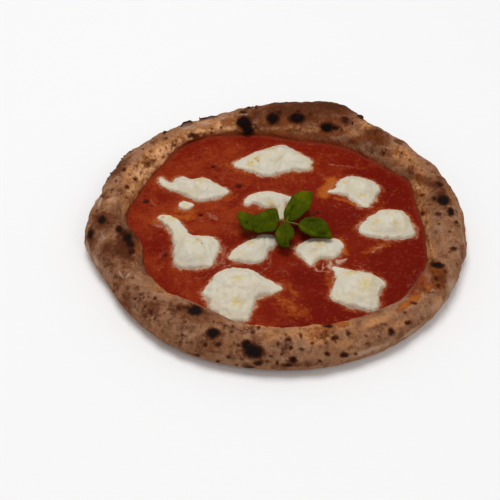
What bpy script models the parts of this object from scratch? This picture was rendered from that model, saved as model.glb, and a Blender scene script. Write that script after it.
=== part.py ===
"""A Neapolitan margherita pizza: puffed crust, tomato sauce, torn mozzarella and a sprig of basil.

The part stands on its flat underside. The origin is under the middle of the crust, +Z is up, and -Y is the
side nearest to a person who looks at the basil from the front. Angles run anticlockwise from +X.
"""

import math

import bmesh
import bpy
import numpy as np
from mathutils import Vector, geometry, noise

MM = 0.001

# Driving dimensions of the crust
CRUST_RADIUS = 151 * MM
WELL_RADIUS = 117 * MM
RIM_HEIGHT = 25 * MM
BASE_TOP = 3.6 * MM
BULGE_HEIGHT = 9 * MM
FOOT_INSET = 11 * MM
CREST_SHARE = 0.50
CRUST_STEPS = 144

# Each swell is (angle in degrees, change in millimetres, spread in degrees)
OUTLINE_SWELLS = [
    (192, 3.5, 8), (175, -3.5, 8), (160, -4, 16), (118, -8.5, 26), (98, -1.5, 9), (66, 4, 12), (53, -4.5, 10),
    (33, -3.5, 11), (8, 2, 14), (244, 2, 14), (212, -2.5, 12),
]
WELL_SWELLS = [
    (27, 8, 9), (82, -8.5, 16), (127, 9, 13), (179, 4, 9), (200, -5, 9), (243, -6.5, 12), (275, -2.6, 20),
    (318, 6, 13), (336, 6.5, 11), (352, 2.5, 14),
]
HEIGHT_SWELLS = [(74, 5, 20), (125, -6, 26), (194, 4, 16), (40, -1, 14), (300, -2, 20), (232, 1, 14)]

# Each blister is (x, y, radius, rise) in millimetres, seen from above
BLISTERS = [
    (-118, -34, 15, 4), (-137, -8, 9, 3), (48, 130, 19, 3), (84, 100, 8, 4), (117, -58, 9, 3),
    (110, -72, 8, 2.5), (27, -126, 8, 3), (46, -128, 7, 2.5), (-14, -134, 9, 2), (-44, -122, 8, 2),
    (-62, -106, 10, 2), (-27, 118, 8, 3), (-4, 125, 9, 2.5), (16, 126, 8, 2), (-78, 104, 8, 2),
    (134, 30, 9, 2), (131, 62, 9, 2), (-100, -94, 11, 2), (82, -112, 12, 2), (131, -30, 10, 2),
    (-122, 62, 10, 2), (-136, 30, 9, 2), (108, 92, 11, 2),
]

# Sauce
SAUCE_BOTTOM = BASE_TOP + 0.3 * MM
SAUCE_TOP = 6.2 * MM
SAUCE_SIDE_GAP = 0.8 * MM
SAUCE_RELIEF = 0.4 * MM
SAUCE_STEPS = 72

# Mozzarella: the corners of each torn piece's foot as (x, y), then the mounds on its top as
# (x, y, spread, rise), all in millimetres
CHEESE_BOTTOM = SAUCE_TOP + SAUCE_RELIEF + 0.4 * MM
CHEESE_LOW = 3 * MM
CHEESE_EDGE = 6 * MM
CHEESE_LIP = 0.9 * MM
CHEESE_SPACING = 4 * MM
MOZZARELLA = {
    "mozzarella_back": (
        [(-38, 71), (-28, 82), (-13, 92), (1, 100), (8, 99), (21, 89), (30, 80), (27, 69), (17, 67), (3, 63),
         (-9, 58), (-23, 63)],
        [(-8, 77, 15, 5), (3, 90, 9, 3), (17, 80, 10, 4)],
    ),
    "mozzarella_back_left": (
        [(-40, 36), (-50, 44), (-63, 52), (-71, 48), (-80, 53), (-87, 49), (-89, 44), (-98, 51), (-99, 44),
         (-90, 36), (-80, 31), (-66, 23), (-50, 27)],
        [(-61, 38, 13, 5), (-76, 41, 9, 3)],
    ),
    "mozzarella_crumb": (
        [(-69, 18), (-74, 22), (-80, 20), (-80, 15), (-75, 13), (-71, 14)],
        [(-75, 18, 5, 1)],
    ),
    "mozzarella_middle": (
        [(-27, 24), (-22, 33), (-7, 37), (5, 35), (13, 30), (8, 22), (6, 8), (3, 5), (1, 9), (0, 18),
         (-12, 18), (-18, 22), (-24, 20)],
        [(-8, 28, 13, 4), (-22, 27, 6, 2)],
    ),
    "mozzarella_back_right": (
        [(43, 41), (49, 47), (51, 54), (63, 62), (78, 58), (87, 49), (82, 35), (75, 24), (66, 27), (57, 37),
         (49, 40)],
        [(66, 48, 12, 4), (75, 42, 9, 3)],
    ),
    "mozzarella_right": (
        [(88, 20), (105, 18), (111, -2), (107, -11), (88, -14), (72, -11), (66, -4), (73, 9), (80, 15)],
        [(95, 5, 16, 7), (78, -4, 9, 2)],
    ),
    "mozzarella_left": (
        [(-97, 1), (-90, 4), (-80, -1), (-72, -12), (-67, -19), (-50, -20), (-45, -33), (-50, -51),
         (-57, -54), (-72, -56), (-79, -50), (-82, -25), (-85, -13), (-93, -4)],
        [(-68, -38, 16, 7), (-83, -6, 9, 2)],
    ),
    "mozzarella_front_middle": (
        [(-37, -42), (-31, -31), (-14, -17), (-7, -14), (-1, -17), (0, -26), (-6, -33), (-8, -39), (-14, -46),
         (-28, -46)],
        [(-22, -36, 13, 6), (-8, -23, 8, 4)],
    ),
    "mozzarella_front_left": (
        [(-55, -80), (-47, -63), (-38, -55), (-21, -54), (-5, -65), (5, -71), (0, -77), (-13, -83),
         (-16, -90), (-19, -101), (-33, -104), (-47, -97), (-51, -87)],
        [(-30, -70, 18, 6), (-33, -91, 13, 3), (-12, -70, 9, 2)],
    ),
    "mozzarella_middle_right": (
        [(15, -29), (27, -18), (40, -17), (50, -17), (53, -26), (46, -37), (33, -40), (27, -47), (23, -42)],
        [(32, -27, 13, 4), (48, -23, 5, 1)],
    ),
    "mozzarella_front_right": (
        [(44, -47), (58, -50), (74, -54), (84, -63), (79, -73), (77, -88), (69, -92), (50, -86), (41, -78),
         (46, -63), (45, -53)],
        [(62, -73, 17, 5), (72, -62, 9, 2)],
    ),
}

# Basil: each leaf is (start x, y, z, direction in degrees, length, half width, climb in degrees, droop),
# with lengths in millimetres
STEM_RADIUS = 0.9 * MM
STEM_HEIGHT = 16 * MM
STEM_CENTRE = (7, -8)
LEAF_THICKNESS = 0.9 * MM
LEAVES = [
    (8, -7, 16.5, 57, 38, 9.4, 13, 3),
    (16, -10, 16.5, -21, 29, 10.2, 5, 5),
    (7, -10, 16.5, -88, 24, 7.9, 4, 5),
    (2, -8, 16.5, 188, 24, 13.0, 8, 3),
    (-12, -9, 17.6, 156, 21, 10.0, 0, 3),
]

MATERIALS = {
    "crust": ((0.42, 0.24, 0.13), 0.85),
    "sauce": ((0.30, 0.022, 0.006), 0.35),
    "mozzarella": ((0.78, 0.74, 0.60), 0.40),
    "basil": ((0.055, 0.11, 0.006), 0.50),
}


def wrapped(degrees):
    """An angle difference brought to -180..180."""
    return (degrees + 180) % 360 - 180


def swelled(angle, base, swells):
    """A size that varies round the pizza: the base plus its swells, each a bell curve over the angle."""
    size = base
    for at, change, spread in swells:
        size += change * MM * math.exp(-((wrapped(angle - at) / spread) ** 2))
    return size


def smooth_step(value, low, high):
    share = min(1, max(0, (value - low) / (high - low)))
    return share * share * (3 - 2 * share)


def clear_scene():
    for old in list(bpy.data.objects):
        bpy.data.objects.remove(old)


def make_material(name):
    colour, roughness = MATERIALS[name]
    material = bpy.data.materials.new(name)
    material.use_nodes = True
    shader = material.node_tree.nodes["Principled BSDF"]
    shader.inputs["Base Color"].default_value = (*colour, 1)
    shader.inputs["Roughness"].default_value = roughness
    shader.inputs["Metallic"].default_value = 0
    return material


def add_object(name, mesh, material, collection, sharp_angle=50):
    mesh.materials.clear()
    mesh.materials.append(material)
    mesh.shade_smooth()
    mesh.set_sharp_from_angle(angle=math.radians(sharp_angle))
    made = bpy.data.objects.new(name, mesh)
    collection.objects.link(made)
    return made


def turned_mesh(name, profile, steps):
    """A profile of (radius, height), from the axis at the top down to the axis below, turned once round."""
    mesh = bpy.data.meshes.new(name + "_profile")
    points = [(radius, 0, height) for radius, height in profile]
    mesh.from_pydata(points, [(i, i + 1) for i in range(len(points) - 1)], [])
    guide = bpy.data.objects.new(name + "_guide", mesh)
    bpy.context.scene.collection.objects.link(guide)
    screw = guide.modifiers.new("turn", "SCREW")
    screw.steps = steps
    screw.render_steps = steps
    screw.use_merge_vertices = True
    screw.merge_threshold = 0.00001
    solid = bpy.data.meshes.new_from_object(guide.evaluated_get(bpy.context.evaluated_depsgraph_get()))
    solid.name = name
    bpy.data.objects.remove(guide)
    return solid


def crust_profile():
    """The rim's section from the middle of the base, up the inner wall, over the crest and under the edge."""
    crest = WELL_RADIUS + CREST_SHARE * (CRUST_RADIUS - WELL_RADIUS)
    profile = [(0, BASE_TOP), (0.6 * WELL_RADIUS, BASE_TOP)]
    for degrees in (0, 18, 34, 50, 68):
        turn = math.radians(degrees)
        across = crest - (crest - WELL_RADIUS) * math.cos(turn)
        profile.append((across, BASE_TOP + (RIM_HEIGHT - BASE_TOP) * math.sin(turn) ** 1.5))
    for degrees in (90, 72, 55, 38, 20, 0):
        turn = math.radians(degrees)
        across = crest + (CRUST_RADIUS - crest) * math.cos(turn)
        profile.append((across, BULGE_HEIGHT + (RIM_HEIGHT - BULGE_HEIGHT) * math.sin(turn)))
    for degrees in (-30, -60, -90):
        turn = math.radians(degrees)
        across = CRUST_RADIUS - FOOT_INSET * (1 - math.cos(turn))
        profile.append((across, BULGE_HEIGHT * (1 + math.sin(turn))))
    return profile + [(0, 0)]


def shaped_crust_point(point):
    """Moves a point of the turned crust to its place on the uneven one."""
    radius = math.hypot(point.x, point.y)
    angle = math.degrees(math.atan2(point.y, point.x))
    well = swelled(angle, WELL_RADIUS, WELL_SWELLS)
    edge = swelled(angle, CRUST_RADIUS, OUTLINE_SWELLS)
    height = swelled(angle, RIM_HEIGHT, HEIGHT_SWELLS)
    if radius <= WELL_RADIUS + 0.01 * MM:
        scale = well / WELL_RADIUS
        return Vector((point.x * scale, point.y * scale, point.z))
    across = (radius - WELL_RADIUS) / (CRUST_RADIUS - WELL_RADIUS)
    scale = (well + across * (edge - well)) / radius
    lifted = point.z * height / RIM_HEIGHT
    if across < CREST_SHARE and point.z > 0:
        lifted = BASE_TOP + (point.z - BASE_TOP) * (height - BASE_TOP) / (RIM_HEIGHT - BASE_TOP)
    placed = Vector((point.x * scale, point.y * scale, lifted))
    core = Vector((point.x, point.y, 0)) * (0.45 * well + 0.55 * edge) / radius
    core.z = 0.4 * height
    outwards = (placed - core).normalized()
    dough = 0.9 * noise.noise(placed / (22 * MM)) + 0.6 * noise.noise(placed / (9 * MM))
    for x, y, spread, rise in BLISTERS:
        away = math.hypot(placed.x / MM - x, placed.y / MM - y) / spread
        dough += rise * math.exp(-away * away)
    free = smooth_step(placed.z, BASE_TOP + 3 * MM, BASE_TOP + 7 * MM)
    return placed + outwards * dough * free * MM


def make_crust(collection, material):
    mesh = turned_mesh("crust", crust_profile(), CRUST_STEPS)
    for vertex in mesh.vertices:
        vertex.co = shaped_crust_point(vertex.co)
    return add_object("crust", mesh, material, collection)


def make_sauce(collection, material):
    """A thin disc in the well, with a rounded edge and a slightly uneven top."""
    edge = WELL_RADIUS - SAUCE_SIDE_GAP
    profile = [(share * edge, SAUCE_TOP) for share in (0, 0.22, 0.44, 0.64, 0.82, 0.94)]
    profile += [(edge, SAUCE_TOP - 0.5 * MM), (edge, SAUCE_BOTTOM), (0, SAUCE_BOTTOM)]
    mesh = turned_mesh("sauce", profile, SAUCE_STEPS)
    for vertex in mesh.vertices:
        angle = math.degrees(math.atan2(vertex.co.y, vertex.co.x))
        well = swelled(angle, WELL_RADIUS, WELL_SWELLS) - SAUCE_SIDE_GAP
        scale = well / edge
        vertex.co.x *= scale
        vertex.co.y *= scale
        if vertex.co.z > 0.9 * SAUCE_TOP:
            vertex.co.z += SAUCE_RELIEF * noise.noise(vertex.co / (16 * MM))
    return add_object("sauce", mesh, material, collection, 30)


def smooth_outline(corners, spacing):
    """A closed smooth curve through the corners, as evenly spaced points in metres."""
    before, here = np.roll(corners, 1, axis=0), np.array(corners, float)
    after, beyond = np.roll(corners, -1, axis=0), np.roll(corners, -2, axis=0)
    share = np.linspace(0, 1, 12, endpoint=False)[:, None, None]
    bend = 2 * here + (after - before) * share + (2 * before - 5 * here + 4 * after - beyond) * share**2
    bend = (bend + (3 * here - before - 3 * after + beyond) * share**3) / 2
    dense = bend.transpose(1, 0, 2).reshape(-1, 2) * MM
    steps = np.linalg.norm(np.roll(dense, -1, axis=0) - dense, axis=1)
    travelled = np.concatenate([[0], np.cumsum(steps)])
    looped = np.vstack([dense, dense[:1]])
    places = np.linspace(0, travelled[-1], round(travelled[-1] / spacing), endpoint=False)
    return np.stack([np.interp(places, travelled, looped[:, axis]) for axis in (0, 1)], axis=1)


def outline_depth(outline, points):
    """How far each point lies inside the outline; outside is negative."""
    starts, ends = outline, np.roll(outline, -1, axis=0)
    sides = ends - starts
    gaps = points[:, None] - starts[None]
    along = np.clip((gaps * sides).sum(axis=2) / (sides * sides).sum(axis=1), 0, 1)
    distance = np.linalg.norm(gaps - along[..., None] * sides, axis=2).min(axis=1)
    above = (starts[:, 1] > points[:, 1:2]) != (ends[:, 1] > points[:, 1:2])
    rise = np.where(sides[:, 1] == 0, 1, sides[:, 1])
    crossing = starts[:, 0] + (points[:, 1:2] - starts[:, 1]) * sides[:, 0] / rise
    inside = (above & (points[:, :1] < crossing)).sum(axis=1) % 2 == 1
    return np.where(inside, distance, -distance)


def cheese_heights(outline, mounds, points):
    """Height of a piece's top over its underside: its mounds, rounded off towards the outline."""
    crown = np.full(len(points), CHEESE_LOW)
    for x, y, spread, rise in mounds:
        away = np.hypot(points[:, 0] / MM - x, points[:, 1] / MM - y) / spread
        crown += rise * MM * np.exp(-away * away)
    share = np.clip(outline_depth(outline, points) / CHEESE_EDGE, 0, 1)
    return CHEESE_LIP + (crown - CHEESE_LIP) * np.sqrt(1 - (1 - share) ** 2)


def make_mozzarella(name, piece, collection, material):
    """A flat-bottomed heap: its top is a net of points inside the outline, lifted to the mounds' height."""
    corners, mounds = piece
    fine = smooth_outline(corners, 1 * MM)
    rim = smooth_outline(corners, CHEESE_SPACING)
    low, high = fine.min(axis=0), fine.max(axis=0)
    across = np.arange(low[0], high[0], 1.1 * CHEESE_SPACING)
    down = np.arange(low[1], high[1], 0.95 * CHEESE_SPACING)
    stagger = 0.5 * (across[1] - across[0])
    net = np.array([(x + (row % 2) * stagger, y) for row, y in enumerate(down) for x in across])
    net = net[outline_depth(fine, net) > 0.8 * CHEESE_SPACING]
    middle = (np.roll(rim, 1, axis=0) + np.roll(rim, -1, axis=0)) / 2
    tangent = np.roll(rim, -1, axis=0) - np.roll(rim, 1, axis=0)
    inward = np.stack([-tangent[:, 1], tangent[:, 0]], axis=1) / np.linalg.norm(tangent, axis=1)[:, None]
    if outline_depth(fine, rim + 0.2 * MM * inward).mean() < 0:
        inward = -inward
    ring = middle + 1.4 * MM * inward
    ring = ring[outline_depth(fine, ring) > 0.9 * MM]
    flat = np.vstack([rim, ring, net])
    found = geometry.delaunay_2d_cdt([Vector(point) for point in flat], [], [list(range(len(rim)))], 1, 1e-7)
    places, faces = np.array([tuple(point) for point in found[0]]), found[2]
    heights = cheese_heights(fine, mounds, places)
    work = bmesh.new()
    top = [work.verts.new((x, y, CHEESE_BOTTOM + height)) for (x, y), height in zip(places, heights)]
    for face in faces:
        work.faces.new([top[i] for i in face])
    edge = [top[int(np.argmin(np.linalg.norm(places - point, axis=1)))] for point in rim]
    foot = [work.verts.new((*(point + 0.5 * MM * step), CHEESE_BOTTOM)) for point, step in zip(rim, inward)]
    for i in range(len(rim)):
        j = (i + 1) % len(rim)
        work.faces.new((edge[j], edge[i], foot[i], foot[j]))
    work.faces.new(foot)
    bmesh.ops.recalc_face_normals(work, faces=work.faces[:])
    bmesh.ops.triangulate(work, faces=work.faces[:])
    mesh = bpy.data.meshes.new(name)
    work.to_mesh(mesh)
    work.free()
    return add_object(name, mesh, material, collection, 60)


def leaf_point(leaf, along, aside):
    """A place on a leaf: along runs 0..1 from its stalk to its tip, aside runs -1..1 over its width."""
    x, y, z, direction, length, half_width, climb, droop = leaf
    turn = math.radians(direction)
    forward = Vector((math.cos(turn), math.sin(turn), 0))
    left = Vector((-math.sin(turn), math.cos(turn), 0))
    width = half_width * math.sin(math.pi * (0.03 + 0.95 * along) ** 0.9) ** 0.8
    rise = length * along * math.tan(math.radians(climb)) - droop * along**2.5
    cup = 0.9 * abs(aside) ** 1.6 - 1.6 * abs(aside) ** 4 + 0.5 * math.sin(9 * along + 2 * aside) * abs(aside)
    return (Vector((x, y, z + rise + cup)) + forward * length * along + left * width * aside) * MM


def make_leaf(name, leaf, collection):
    """One leaf: a wavy sheet is split into triangles, then thickened, so that both faces are split alike."""
    rows, columns = 9, 6
    mesh = bpy.data.meshes.new(name)
    work = bmesh.new()
    bmesh.ops.create_grid(work, x_segments=rows, y_segments=columns, size=1)
    for vertex in work.verts:
        vertex.co = leaf_point(leaf, (vertex.co.x + 1) / 2, vertex.co.y)
    bmesh.ops.triangulate(work, faces=work.faces[:])
    work.to_mesh(mesh)
    work.free()
    sheet = bpy.data.objects.new(name, mesh)
    collection.objects.link(sheet)
    shell = sheet.modifiers.new("thickness", "SOLIDIFY")
    shell.thickness = LEAF_THICKNESS
    shell.offset = 0
    return sheet


def make_stalk(name, points, collection):
    """A round stalk along a few points, as a mesh with its caps welded."""
    curve = bpy.data.curves.new(name, "CURVE")
    curve.dimensions = "3D"
    curve.bevel_depth = STEM_RADIUS
    curve.bevel_resolution = 1
    curve.use_fill_caps = True
    spline = curve.splines.new("POLY")
    spline.points.add(len(points) - 1)
    for place, point in zip(points, spline.points):
        point.co = (*(Vector(place) * MM), 1)
    guide = bpy.data.objects.new(name + "_guide", curve)
    bpy.context.scene.collection.objects.link(guide)
    mesh = bpy.data.meshes.new_from_object(guide.evaluated_get(bpy.context.evaluated_depsgraph_get()))
    bpy.data.objects.remove(guide)
    work = bmesh.new()
    work.from_mesh(mesh)
    bmesh.ops.remove_doubles(work, verts=work.verts[:], dist=0.00001)
    work.to_mesh(mesh)
    work.free()
    stalk = bpy.data.objects.new(name, mesh)
    collection.objects.link(stalk)
    return stalk


def make_basil(collection, material):
    """The sprig: leaves joined at a short stem, fused into one solid."""
    pieces = bpy.data.collections.new("basil pieces")
    bpy.context.scene.collection.children.link(pieces)
    height = STEM_HEIGHT / MM
    for number, leaf in enumerate(LEAVES):
        make_leaf(f"leaf_{number}", leaf, pieces)
    for number, leaf in enumerate(LEAVES[:4]):
        inside = leaf_point(leaf, 0.16, 0) / MM
        middle = ((STEM_CENTRE[0] + leaf[0]) / 2, (STEM_CENTRE[1] + leaf[1]) / 2, height + 0.3)
        make_stalk(f"stalk_{number}", [(*STEM_CENTRE, height - 0.4), middle, inside], pieces)
    foot = (STEM_CENTRE[0], STEM_CENTRE[1] - 1, height - 3.5)
    start = make_stalk("stem", [foot, (*STEM_CENTRE, height + 0.8)], pieces)
    pieces.objects.unlink(start)
    collection.objects.link(start)
    joined = start.modifiers.new("joined", "BOOLEAN")
    joined.operation = "UNION"
    joined.operand_type = "COLLECTION"
    joined.collection = pieces
    joined.solver = "EXACT"
    mesh = bpy.data.meshes.new_from_object(start.evaluated_get(bpy.context.evaluated_depsgraph_get()))
    for piece in [start, *pieces.objects]:
        bpy.data.objects.remove(piece)
    bpy.data.collections.remove(pieces)
    return add_object("basil_sprig", mesh, material, collection, 60)


def centre_over_origin(collection):
    """Moves every mesh alike, so that the middle of the crust's box is over the origin."""
    spots = np.array([tuple(vertex.co) for vertex in collection.objects["crust"].data.vertices])
    middle = (spots.min(axis=0) + spots.max(axis=0)) / 2
    for piece in collection.objects:
        for vertex in piece.data.vertices:
            vertex.co.x -= middle[0]
            vertex.co.y -= middle[1]


def main():
    clear_scene()
    collection = bpy.data.collections.new("pizza")
    bpy.context.scene.collection.children.link(collection)
    materials = {name: make_material(name) for name in MATERIALS}
    make_crust(collection, materials["crust"])
    make_sauce(collection, materials["sauce"])
    for name, piece in MOZZARELLA.items():
        make_mozzarella(name, piece, collection, materials["mozzarella"])
    make_basil(collection, materials["basil"])
    centre_over_origin(collection)


main()
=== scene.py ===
import math
import random

import bpy
import numpy as np
from mathutils import Matrix, Vector, geometry, noise
from mathutils.bvhtree import BVHTree


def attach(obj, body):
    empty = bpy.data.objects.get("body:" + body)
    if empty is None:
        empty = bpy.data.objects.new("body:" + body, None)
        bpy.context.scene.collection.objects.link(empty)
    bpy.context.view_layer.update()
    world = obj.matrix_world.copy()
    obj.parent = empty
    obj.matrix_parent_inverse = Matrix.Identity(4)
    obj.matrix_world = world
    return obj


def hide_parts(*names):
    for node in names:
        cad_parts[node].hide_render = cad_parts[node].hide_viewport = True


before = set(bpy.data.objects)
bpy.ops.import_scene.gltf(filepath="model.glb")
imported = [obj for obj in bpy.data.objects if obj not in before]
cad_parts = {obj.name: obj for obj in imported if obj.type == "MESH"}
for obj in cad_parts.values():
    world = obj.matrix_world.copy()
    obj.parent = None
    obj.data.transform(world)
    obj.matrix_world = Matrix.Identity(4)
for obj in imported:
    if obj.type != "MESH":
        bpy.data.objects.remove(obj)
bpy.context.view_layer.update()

# Everything below is worked out in millimetres, and becomes metres when a mesh is made.
mm = 0.001
crustMiddle = (0.40122, -1.19370, 0)  # part.py moves this point over the origin, and so does makeMesh

# The photograph's view: place in millimetres, angles in degrees, lens and sensor in millimetres
photoView = {
    "place": (-20.6, -595.1, 561.6),
    "elevation": 44.58,
    "roll": 2.32,
    "lens": 72.26,
    "sensor": 36,
    "pixels": 500,
}


def smoothStep(value, low, high):
    share = np.clip((value - low) / (high - low), 0, 1)
    return share * share * (3 - 2 * share)


def noiseAt(points, size, seed=0):
    # Smooth noise of about -1..1 at each point, with lumps of the given size
    return np.array([noise.noise(Vector(place)) for place in points / size + 17.3 * seed])


def scattered(points, size, seed):
    # Smooth noise in three directions
    return np.stack([noiseAt(points, size, seed + turn) for turn in (0, 1, 2)], axis=1)


def wandering(points, near, far):
    # The points, moved about twice by (size, amount, seed), so that what is drawn from them gets uneven edges
    for size, amount, seed in (near, far):
        points = points + amount * scattered(points, size, seed)
    return points


def swelled(degrees, base, swells):
    # A size that varies round the pizza; each swell is (angle, change, spread)
    size = np.full(len(degrees), float(base))
    for at, change, spread in swells:
        away = (degrees - at + 180) % 360 - 180
        size += change * np.exp(-((away / spread) ** 2))
    return size


def mound(places, x, y, spread):
    # 1 at this place, and less round it
    return np.exp(-((np.hypot(places[:, 0] - x, places[:, 1] - y) / spread) ** 2))


def turned(right, up, degrees):
    # The same offsets along axes that are turned by this angle
    turn = math.radians(degrees)
    return right * math.cos(turn) + up * math.sin(turn), up * math.cos(turn) - right * math.sin(turn)


def gridFaces(rows, columns, flipped=False):
    # The faces between the points of a grid that is stored row by row
    index = np.arange(rows * columns).reshape(rows, columns)
    faces = np.stack([index[:-1, :-1], index[:-1, 1:], index[1:, 1:], index[1:, :-1]], axis=2).reshape(-1, 4)
    return faces[:, [0, 3, 2, 1]] if flipped else faces


def skirtFaces(border, first):
    # Faces from a border's points to as many points below them, the first of which is given, and the one between those
    beyond = np.roll(np.arange(len(border)), -1).tolist()
    wall = [[border[i], first + i, first + j, border[j]] for i, j in enumerate(beyond)]
    return wall + [[first + i for i in reversed(range(len(border)))]]


def addObject(name, data):
    made = bpy.data.objects.new(name, data)
    bpy.context.scene.collection.objects.link(made)
    return made


def makeMesh(name, points, faces, material, fields):
    # points are in millimetres; fields are named values, one for each point, that the material reads
    placed = (np.array(points, float) - crustMiddle) * mm
    mesh = bpy.data.meshes.new(name)
    mesh.from_pydata(placed.tolist(), [], faces.tolist() if hasattr(faces, "tolist") else faces)
    for field, values in fields.items():
        mesh.attributes.new(field, "FLOAT", "POINT").data.foreach_set("value", np.asarray(values, np.float32))
    mesh.materials.append(material)
    mesh.shade_smooth()
    mesh.update()
    return addObject(name, mesh)


def thicken(piece, thickness):
    shell = piece.modifiers.new("thickness", "SOLIDIFY")
    shell.thickness, shell.offset = thickness * mm, 0


def standFor(piece, node):
    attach(piece, "root")
    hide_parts(node)


class Painter:
    # Builds one material from nodes. Sizes are in millimetres, and a colour is a socket or the name of a tone
    def __init__(self, name, tones, **sockets):
        self.look = bpy.data.materials.new(name)
        self.look.use_nodes = True
        self.tree, self.tones = self.look.node_tree, tones
        self.shader = self.tree.nodes["Principled BSDF"]
        for key, value in sockets.items():
            self.shader.inputs[key.replace("_", " ")].default_value = value
        self.where = self.node("TexCoord").outputs["Object"]

    def node(self, kind, inputs=None, **settings):
        made = self.tree.nodes.new("ShaderNode" + kind)
        for key, value in settings.items():
            setattr(made, key, value)
        for key, value in (inputs or {}).items():
            if isinstance(value, bpy.types.NodeSocket):
                self.tree.links.new(value, made.inputs[key])
            else:
                made.inputs[key].default_value = value
        return made

    def field(self, name):
        return self.node("Attribute", attribute_name=name).outputs["Fac"]

    def grain(self, size, detail=3, roughness=0.55, twist=0, where=None):
        # Noise of 0..1 with lumps of this size
        inputs = {"Vector": where or self.where, "Scale": 1 / (size * mm), "Detail": detail}
        return self.node("TexNoise", {**inputs, "Roughness": roughness, "Distortion": twist}).outputs["Fac"]

    def ramp(self, value, low, high, start=0, end=1):
        inputs = {"Value": value, "From Min": low, "From Max": high, "To Min": start, "To Max": end}
        return self.node("MapRange", inputs, interpolation_type="SMOOTHSTEP").outputs["Result"]

    def reckon(self, operation, first, second=0.0):
        return self.node("Math", {0: first, 1: second}, operation=operation).outputs[0]

    def times(self, first, second):
        return self.reckon("MULTIPLY", first, second)

    def less(self, first, second):
        return self.reckon("SUBTRACT", first, second)

    def grainy(self, value, *layers):
        # A value or a named field, with each noise laid over it to this amount
        value = self.field(value) if isinstance(value, str) else value
        for layer, amount in layers:
            value = self.reckon("ADD", value, self.times(self.less(layer, 0.5), amount))
        return value

    def blend(self, amount, *colours):
        under, over = ((*self.tones[colour], 1) if isinstance(colour, str) else colour for colour in colours)
        return self.node("Mix", {0: amount, 6: under, 7: over}, data_type="RGBA").outputs[2]

    def dab(self, over, amount):
        self.colour = self.blend(amount, self.colour, over)

    def coat(self, over, value, low, high, most=1):
        # A colour over the ones before it, from none at the low value to most at the high one
        self.dab(over, self.ramp(value, low, high, 0, most))

    def stirred(self, size, amount):
        # The place, moved about by noise, so that what is drawn there gets uneven edges
        swirl = self.node("TexNoise", {"Vector": self.where, "Scale": 1 / (size * mm), "Detail": 2}).outputs["Color"]
        centred = self.node("VectorMath", {0: swirl, 1: (0.5, 0.5, 0.5)}, operation="SUBTRACT").outputs[0]
        move = self.node("VectorMath", {0: centred, 1: (3 * amount * mm,) * 3}, operation="MULTIPLY").outputs[0]
        return self.node("VectorMath", {0: self.where, 1: move}, operation="ADD").outputs[0]

    def spots(self, stir, size, share, soft, boost):
        # Scattered round spots of uneven sizes: 1 in a spot, 0 between them. share is how many of the cells hold one
        cells = self.node("TexVoronoi", {"Vector": self.stirred(*stir), "Scale": 1 / (size * mm)})
        luck = self.node("SeparateColor", {"Color": cells.outputs["Color"]}).outputs[0]
        radius = self.reckon("ADD", self.times(self.less(luck, 1 - share), 0.45 / share), boost)
        return self.ramp(self.less(radius, cells.outputs["Distance"]), -soft, soft)

    def finish(self, roughness, *heights):
        # Links what was built, with relief of (value, depth, strength) laid over each other
        normal = None
        for value, depth, strength in heights:
            inputs = {"Height": value, "Distance": depth * mm, "Strength": strength}
            inputs.update({"Normal": normal} if normal else {})
            normal = self.node("Bump", inputs).outputs["Normal"]
        for key, socket in (("Base Color", self.colour), ("Roughness", roughness), ("Normal", normal)):
            if socket:
                self.tree.links.new(socket, self.shader.inputs[key])
        return self.look


# The camera's own directions, for reading places off the photograph
tilt, roll = math.radians(photoView["elevation"]), math.radians(photoView["roll"])
backward = Vector((0, -math.cos(tilt), math.sin(tilt)))
levelUp = Vector((0, math.sin(tilt), math.cos(tilt)))
rightward = math.cos(roll) * Vector((1, 0, 0)) + math.sin(roll) * levelUp
upward = -math.sin(roll) * Vector((1, 0, 0)) + math.cos(roll) * levelUp
focalPixels = photoView["lens"] / photoView["sensor"] * photoView["pixels"]
halfPhoto = photoView["pixels"] / 2
cameraPlace = Vector(photoView["place"])
pizzaDistance = 800  # about how far away the pizza is, for sights that miss it
# A mark reaches no further than this many of its sizes, and is this many of them deep along the sight
markReach, markDepth = 9, 3.5


def sightOf(x, y):
    # The direction in which the camera sees a pixel of the photograph
    return (rightward * (x - halfPhoto) + upward * (halfPhoto - y) - backward * focalPixels).normalized()


def photoSpot(surface, x, y):
    # Where the photograph's pixel falls on a surface, and the millimetres a pixel there
    place, _, _, distance = surface.ray_cast(cameraPlace, sightOf(x, y))
    if place is None:
        place = surface.find_nearest(cameraPlace + sightOf(x, y) * pizzaDistance)[0]
        distance = (place - cameraPlace).length
    return place, distance / focalPixels


def outlineSpot(surface, x, y):
    # For a pixel just outside the object: the place and normal where the sight first touches it, going inwards
    for _ in range(40):
        place, normal, _, _ = surface.ray_cast(cameraPlace, sightOf(x, y))
        if place is not None:
            return place, normal
        x, y = x + 0.01 * (halfPhoto - x), y + 0.01 * (halfPhoto - y)


def photoPlace(pixels, heights):
    # Where the photograph's pixels fall at these heights
    sight = np.outer(pixels[:, 0] - halfPhoto, rightward) + np.outer(halfPhoto - pixels[:, 1], upward)
    sight -= focalPixels * np.array(backward)
    start = np.array(photoView["place"])
    return start + sight * ((heights - start[2]) / sight[:, 2])[:, None]


def spotShape(reach, size, most):
    # Above 0 inside a scorch spot and -1 far outside; small ones are soft and brown, large ones crisp and black
    soft = (most + 1) * np.exp(-0.6 * reach**2) - 1
    crisp = np.clip(1.12 - reach, -1, most)
    return soft + (crisp - soft) * smoothStep(size, 2, 3.8)


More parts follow.
